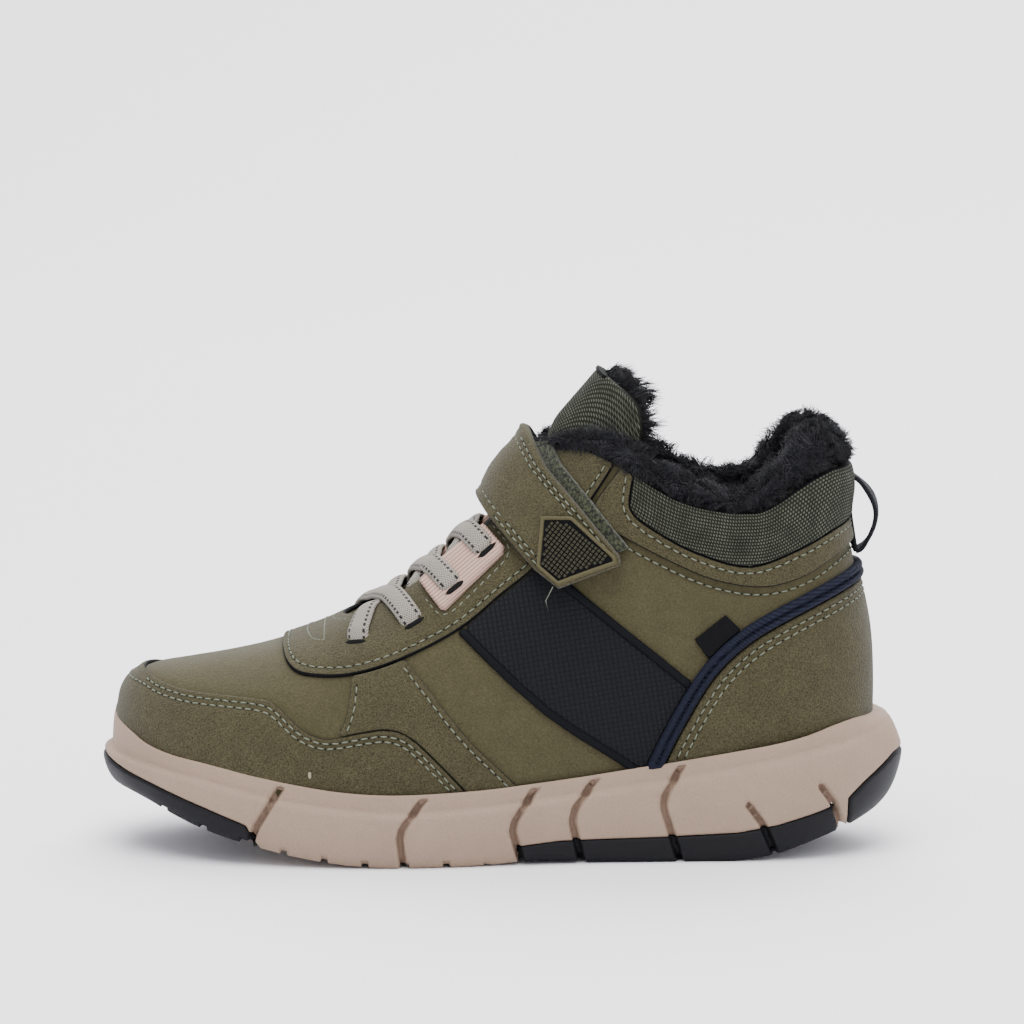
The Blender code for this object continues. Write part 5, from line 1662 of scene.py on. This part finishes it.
class BOOT_OT_laces(bpy.types.Operator):
    """Ribbed holders and the flat elastic lace that crosses between them"""
    bl_idname = "boot.laces"
    bl_label = "Laces"

    def execute(self, context):
        for side in ("outer", "inner"):
            def ribs(p):
                return 0.25 * np.abs(np.sin(p @ np.array(RIB_WAY) * math.pi / RIB_PITCH))

            holder = layer(f"lace_holder_{side}_tape", UPPER,
                           lambda p: least(inside(p, HOLDER), outside_throat(p),
                                           on_side(p, side)),
                           lambda p, s: SUEDE + 0.3 + rounded_edge(s, LACE_HOLDER, 1.0, 0.3)
                           + ribs(p), 0.6, cell=0.4, finish=finish("holder"))
            dress(holder, nodes=(f"lace_holder_{side}",))
            sew(lambda p: -inside(p, HOLDER), 1.5, SUEDE,
                lambda p: least(outside_throat(p) - 1.5, on_side(p, side),
                                inside(p, EYESTAY) - 2.6, clear_of(p, STRAP_SHAPE)))
        holes = side_view(EYELETS)
        spots = list(zip(spots_at(holes), spots_at(holes, "inner")))
        lifts = (SUEDE + 1.1,) * 2 + (SUEDE + LACE_HOLDER + 1.0,) * 2
        bands, slot_shades = [], []
        for first in range(len(EYELETS) - 1):
            ends = ((first, 0, 3), (first + 1, -1, -4))[min(first, 1):]
            for side, other, middle in ((1, 0, 0.9), (0, 1, -0.9)):
                rows, columns, height = lace_run(spots[first][side], spots[first + 1][other],
                                                 lifts[first:first + 2], middle, first == 0)
                path = UPPER.place(rows, columns, height)
                above = UPPER.place(rows, columns, height + 1.0)
                bands.append(swept_band(f"lace_{first}_{side}", path, above - path, LACE_WIDTH,
                                        LACE, finish("lace"), 0.75))
                for end_row, at, step in ends:
                    sunk = lifts[end_row] - (0.9 if end_row < 2 else 0.45)
                    place, rise = (UPPER.place(rows[at:][:1], columns[at:][:1], sunk + off)[0]
                                   for off in (0.0, 1.0))
                    out = rise - place
                    run = path[at] - path[step]
                    run = unit(run - out * (run @ out))
                    aside = np.cross(out, run)
                    # A dark flat capsule where the band dips into its slot: painted shade in the
                    # opening
                    slot_shades.append((place - run * 0.35,
                                  np.array((aside * (LACE_WIDTH + 0.5), run * 1.4, out * 0.5))))
        dress(copies("lace_slots", capsule(5, 8), slot_shades, finish("slot")))
        deselect()
        for band in bands:
            band.select_set(True)
        context.view_layer.objects.active = bands[0]
        bpy.ops.object.join()
        lace = context.object
        lace.name = "elastic_lace"
        dress(lace, nodes=("lace",))
        return {"FINISHED"}


def heel_row(height):
    """Broken row number where the back of the heel reaches a height."""
    back = UPPER.points[:, 0, 2]
    start = len(back) // 2
    return float(np.interp(height, back[start:], np.arange(start, len(back))))


class BOOT_OT_pull_loop(bpy.types.Operator):
    """Bowed pull loop of webbing at the heel"""
    bl_idname = "boot.pull_loop"
    bl_label = "Pull loop"

    def execute(self, context):
        part = np.linspace(0.0, 1.0, 33)
        rows = heel_row(up(PULL_LOW)) + (heel_row(up(PULL_HIGH)) - heel_row(up(PULL_LOW))) * part
        near = UPPER.place(rows, np.zeros(33), 0.3 + PULL / 2)
        bow = PULL + (PULL_BOW - PULL) * np.sin(math.pi * part) ** 0.7
        far = UPPER.place(rows, np.zeros(33), 0.3 + PULL / 2 + bow)
        path = np.vstack((near, far[::-1]))
        path = even_points(np.vstack((path, path[:1])), 72)
        middle = path[:-1].mean(axis=0)
        normals = unit(path - middle)
        normals[:, 1] -= 0.12 * smooth_share((path[:, 0] - path[:, 0].min() - 3.0) / 5.0)
        loop = swept_band("pull_loop_webbing", path, normals, PULL_WIDTH, PULL,
                          finish("webbing"), 0.05)
        dress(loop, nodes=("pull_loop",))
        return {"FINISHED"}


def collar_places(count, reach=0.935):
    """Rows and columns round the collar's edge, from the outer front to the inner front."""
    half = COLUMNS / 2
    columns = np.linspace(half * reach, -half * reach, count)
    rows = np.full(count, heel_row(up(PULL_HIGH)))
    for _ in range(40):
        points = UPPER.place(rows, columns)
        target = np.interp(points[:, 0], COLLAR[:, 0], COLLAR[:, 1])
        rows = np.clip(rows + (target - points[:, 2]) * 0.3, 40, len(UPPER.points) - 2)
    return rows, columns


class PileRoll:
    """The roll of pile along the collar's edge: oval rings from one front end to the other."""

    def __init__(self):
        rows, columns = collar_places(ROLL_RINGS)
        edge = UPPER.place(rows, columns)
        outward = UPPER.place(rows, columns, 1.0) - edge
        outward[:, 2] = 0.0
        self.outward = unit(outward)
        top = side_view(PILE_TOP, 6)
        base = np.interp(edge[:, 0], COLLAR[:, 0], COLLAR[:, 1])
        tall = np.interp(edge[:, 0], top[:, 0], top[:, 1]) - base
        numbers = np.arange(ROLL_RINGS)
        from_end = np.minimum(numbers, ROLL_RINGS - 1 - numbers)
        self.swell = np.minimum(1.0, np.sqrt(0.2 + from_end / 10))
        to_end = np.clip((0.97 - np.abs(columns) * 2 / COLUMNS) / 0.46, 0.0, 1.0)
        inner = 9.0 * (0.15 + 0.85 * to_end)
        self.half = (ROLL_OUT + inner) / 2
        self.high = np.maximum(tall / 2 - 1.3, 1.8) * self.swell
        self.middle = edge + self.outward * ((ROLL_OUT - inner) / 2)[:, None]
        self.middle[:, 2] = base + tall / 2 - 1.0

    def core(self):
        """Points of the solid core, ring by ring."""
        rings = []
        for spot in range(ROLL_SIDES):
            angle = 2 * math.pi * spot / ROLL_SIDES
            wide = (self.half - 1.2) * self.swell
            ring = self.middle + self.outward * (wide * math.cos(angle))[:, None]
            ring[:, 2] += self.high * math.sin(angle)
            ring += 0.5 * ripple(ring, 6.0, spot)[:, None] * self.outward
            rings.append(ring)
        return np.stack(rings, axis=1).reshape(-1, 3)

    def spots(self, ring_at, angle):
        """Points on the roll and the directions out of it."""
        lower = np.clip(ring_at.astype(int), 0, ROLL_RINGS - 2)
        blend = (ring_at - lower)[:, None]
        centre, way = (values[lower] * (1 - blend) + values[lower + 1] * blend
                       for values in (self.middle, self.outward))
        wide = ((self.half - 1.0) * self.swell)[lower]
        high = self.high[lower]
        spot = centre + way * (wide * np.cos(angle))[:, None]
        spot[:, 2] += high * np.sin(angle)
        normal = way * (np.cos(angle) / np.maximum(wide, 0.5))[:, None]
        normal[:, 2] += np.sin(angle) / high
        return spot, unit(normal)


class BOOT_OT_pile(bpy.types.Operator):
    """Deep pile that rolls out of the collar and covers the tongue's back"""
    bl_idname = "boot.pile"
    bl_label = "Pile"

    def execute(self, context):
        sizes, _ = settings()
        rng = np.random.default_rng(11)
        form = PileRoll()
        roll = add_mesh("pile_roll", form.core(), tube_faces(ROLL_RINGS, ROLL_SIDES))
        roll.data.materials.append(finish("pile"))
        dress(roll, nodes=("pile_cuff",))

        tufts = sizes.pile_count
        last = ROLL_RINGS - 1.01
        ring_at = rng.uniform(0, last, tufts)
        angle_at = rng.uniform(-0.35 * math.pi, 1.25 * math.pi, tufts)
        spot, normal = form.spots(ring_at, angle_at)
        flow = np.cross(normal, ripple_way(spot, 9.0, 21))
        flow[:, 2] -= 0.35
        tuft_way = unit(normal * 0.5 + flow * 0.85 + rng.normal(size=(tufts, 3)) * 0.16)
        tuft_tip = spot + tuft_way * (sizes.pile_length * rng.uniform(0.45, 0.75, tufts))[:, None]
        swirl = np.cross(tuft_way, normal) * rng.normal(size=(tufts, 1)) * 0.9 + normal * 0.7
        halves = {"outer": ([], [], []), "inner": ([], [], [])}
        for _ in range(TUFT_HAIRS):
            shift = rng.normal(size=tufts) * 1.0
            own, _ = form.spots(np.clip(ring_at + shift, 0, last),
                                angle_at + rng.normal(size=tufts) * 0.2)
            tips = tuft_tip + (own - spot) * 0.45 + rng.normal(size=(tufts, 3)) * 0.5
            bends = swirl + rng.normal(size=(tufts, 3)) * 0.25
            for side, picked in (("outer", ring_at < ROLL_RINGS / 2),
                                 ("inner", ring_at >= ROLL_RINGS / 2)):
                for kept, values in zip(halves[side], (own, tips, bends)):
                    kept.append(values[picked])
        for side, parts in halves.items():
            fur = strands(f"pile_hairs_{side}", *[np.vstack(part) for part in parts], HAIR,
                          finish("pile"))
            dress(fur)
        self.tongue_pile(rng)
        return {"FINISHED"}

    def tongue_pile(self, rng):
        """Pile on the back of the tongue and round its rear edge."""
        inner = WALL + CLEARANCE + TONGUE

        def field(p):
            return least(inside_tongue(p) - 0.3, p[..., 2] - up(78.0))

        pad = layer("tongue_pile_pad", UPPER, field,
                    lambda p, s: np.full(len(s), 0.2 - inner), -inner - TONGUE_PILE + 1.5,
                    finish=finish("pile"))
        dress(pad, nodes=("tongue_pile",))
        wanted = BACK_TUFTS
        faces = list(pad.data.polygons)
        weights = np.array([polygon.area for polygon in faces])
        picked = rng.choice(len(faces), wanted, p=weights / weights.sum())
        spot = np.array([faces[index].center for index in picked]) / MM
        normal = np.array([faces[index].normal for index in picked])
        way = unit(normal + rng.normal(size=(wanted, 3)) * 0.5)
        tip = spot + way * rng.uniform(2.5, 4.5, wanted)[:, None]
        roots, tips, bends = [], [], []
        for _ in range(BACK_HAIRS):
            roots.append(spot + rng.normal(size=(wanted, 3)) * 0.7)
            tips.append(tip + rng.normal(size=(wanted, 3)) * 0.5)
            bends.append(rng.normal(size=(wanted, 3)) * 0.4)

        def slope(p):
            return np.stack([field(p + step) - field(p - step) for step in np.eye(3) * 0.4],
                            axis=-1)

        depth = field(UPPER.points)
        near = np.argwhere((depth > -0.4) & (depth < 3.5))
        wanted = RIM_TUFTS
        picked = near[rng.integers(0, len(near), wanted)] + rng.uniform(-0.5, 0.5, (wanted, 2))
        root = UPPER.place(picked[:, 0], picked[:, 1], -inner + 0.8)
        deep = UPPER.place(picked[:, 0], picked[:, 1], -inner - 0.2) - root
        outward = unit(-slope(root))
        way = outward * 0.85 + deep * 0.45 + ripple_way(root, 8.0, 40) * 0.35
        tip = root + way * rng.uniform(4.0, 6.4, wanted)[:, None]
        for _ in range(RIM_HAIRS):
            roots.append(root + rng.normal(size=(wanted, 3)) * 0.6)
            tips.append(tip + rng.normal(size=(wanted, 3)) * 0.7)
            bends.append(rng.normal(size=(wanted, 3)) * 0.35 + outward * 0.4)
        fur = strands("tongue_hairs", np.vstack(roots), np.vstack(tips), np.vstack(bends),
                      TONGUE_HAIR, finish("pile"))
        dress(fur)


class BOOT_OT_stitches(bpy.types.Operator):
    """Every row of sewing thread, with its needle holes"""
    bl_idname = "boot.stitches"
    bl_label = "Stitches"

    def execute(self, context):
        sizes, _ = settings()
        rng = random.Random(4)
        threads, holes = [], []
        for skin, line, lift, part in SEAMS:
            points, above = (skin.place(line[:, 0], line[:, 1], lift + off)
                             for off in (0.0, 1.0))
            normals = above - points
            for _ in range(2):
                points[1:-1] = (points[:-2] + points[1:-1] * 2 + points[2:]) / 4
            lengths = run_lengths(points)

            def at(grid, place):
                return np.array([np.interp(place, lengths, column) for column in grid.T])

            count = int(lengths[-1] / (sizes.stitch_pitch * part))
            for index in range(count if count > 1 else 0):
                start = (index + 0.15) * lengths[-1] / count
                end = start + sizes.stitch_length * part
                first, last = at(points, start), at(points, end)
                size = np.linalg.norm(last - first)
                if size < 0.4:
                    continue
                run = (last - first) / size
                out = at(normals, (start + end) / 2)
                out = unit(out - run * (out @ run))
                aside = np.cross(out, run)
                run = unit(run + aside * rng.uniform(-0.09, 0.09))
                threads.append(((first + last) / 2 + out * 0.12,
                                np.array((run * size, aside * sizes.thread,
                                          out * sizes.thread))))
                # A dark flat mark at each stitch's start: painted shade in its needle hole
                holes.append((first - run * 0.35 + out * 0.02,
                              np.array((run * 0.62, aside * 0.55, out * 0.16))))
        stitches = copies("seam_thread", capsule(), threads, finish("thread"))
        dress(stitches)
        hole_shade_marks = copies("needle_holes", capsule(3, 6), holes, finish("hole"))
        dress(hole_shade_marks)
        root, tip = (UPPER.place(*spots_at([spot], "outer", lift).T, lift)
                     for spot, lift in ((LOOSE_THREAD[0], 6.0), (LOOSE_THREAD[1], 2.0)))
        loose = strands("loose_thread", root, tip, np.array([[-1.4, -0.6, 0.0]]), 0.35,
                        finish("thread"))
        dress(loose)
        row, column = spots_at([SCUFF])[0]
        place, out, down = (UPPER.place(np.array([row]), np.array([column + step]),
                                        1.25 + rise)[0]
                            for step, rise in ((0.0, 0.0), (0.0, 1.0), (0.5, 0.0)))
        out, down = out - place, unit(down - place)
        mark = copies("scuff", capsule(), [(place, np.array((down * 2.2, np.cross(out, down) * 0.7,
                                                             out * 0.12)))], finish("scuff"))
        dress(mark)
        return {"FINISHED"}


class BOOT_OT_carried(bpy.types.Operator):
    """Pile finish for the insole, a solid that stays in view"""
    bl_idname = "boot.carried"
    bl_label = "Insole"

    def execute(self, context):
        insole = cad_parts["insole"]
        insole.data.materials.clear()
        insole.data.materials.append(finish("pile"))
        return {"FINISHED"}


class BOOT_PT_panel(bpy.types.Panel):
    bl_idname = "BOOT_PT_panel"
    bl_label = "Child's mid boot"
    bl_space_type = "VIEW_3D"
    bl_region_type = "UI"
    bl_category = "Boot"

    def draw(self, context):
        for group in (context.scene.boot_sizes, context.scene.boot_colours):
            for name in group.bl_rna.properties.keys():
                if name not in ("rna_type", "name"):
                    self.layout.prop(group, name)
        for operator in OPERATORS:
            self.layout.operator(operator.bl_idname)


OPERATORS = (BOOT_OT_stage, BOOT_OT_sole, BOOT_OT_upper, BOOT_OT_panels, BOOT_OT_tongue,
             BOOT_OT_strap, BOOT_OT_laces, BOOT_OT_pull_loop, BOOT_OT_pile, BOOT_OT_stitches,
             BOOT_OT_carried)
CLASSES = (BootSizes, BootColours) + OPERATORS + (BOOT_PT_panel,)


def register():
    for item in CLASSES:
        bpy.utils.register_class(item)
    bpy.types.Scene.boot_sizes = bpy.props.PointerProperty(type=BootSizes)
    bpy.types.Scene.boot_colours = bpy.props.PointerProperty(type=BootColours)


def unregister():
    del bpy.types.Scene.boot_sizes
    del bpy.types.Scene.boot_colours
    for item in reversed(CLASSES):
        bpy.utils.unregister_class(item)


def main():
    register()
    bpy.ops.boot.stage()
    bpy.ops.boot.sole()
    bpy.ops.boot.upper()
    bpy.ops.boot.panels()
    bpy.ops.boot.tongue()
    bpy.ops.boot.strap()
    bpy.ops.boot.laces()
    bpy.ops.boot.pull_loop()
    bpy.ops.boot.pile()
    bpy.ops.boot.stitches()
    bpy.ops.boot.carried()


if __name__ == "__main__":
    main()
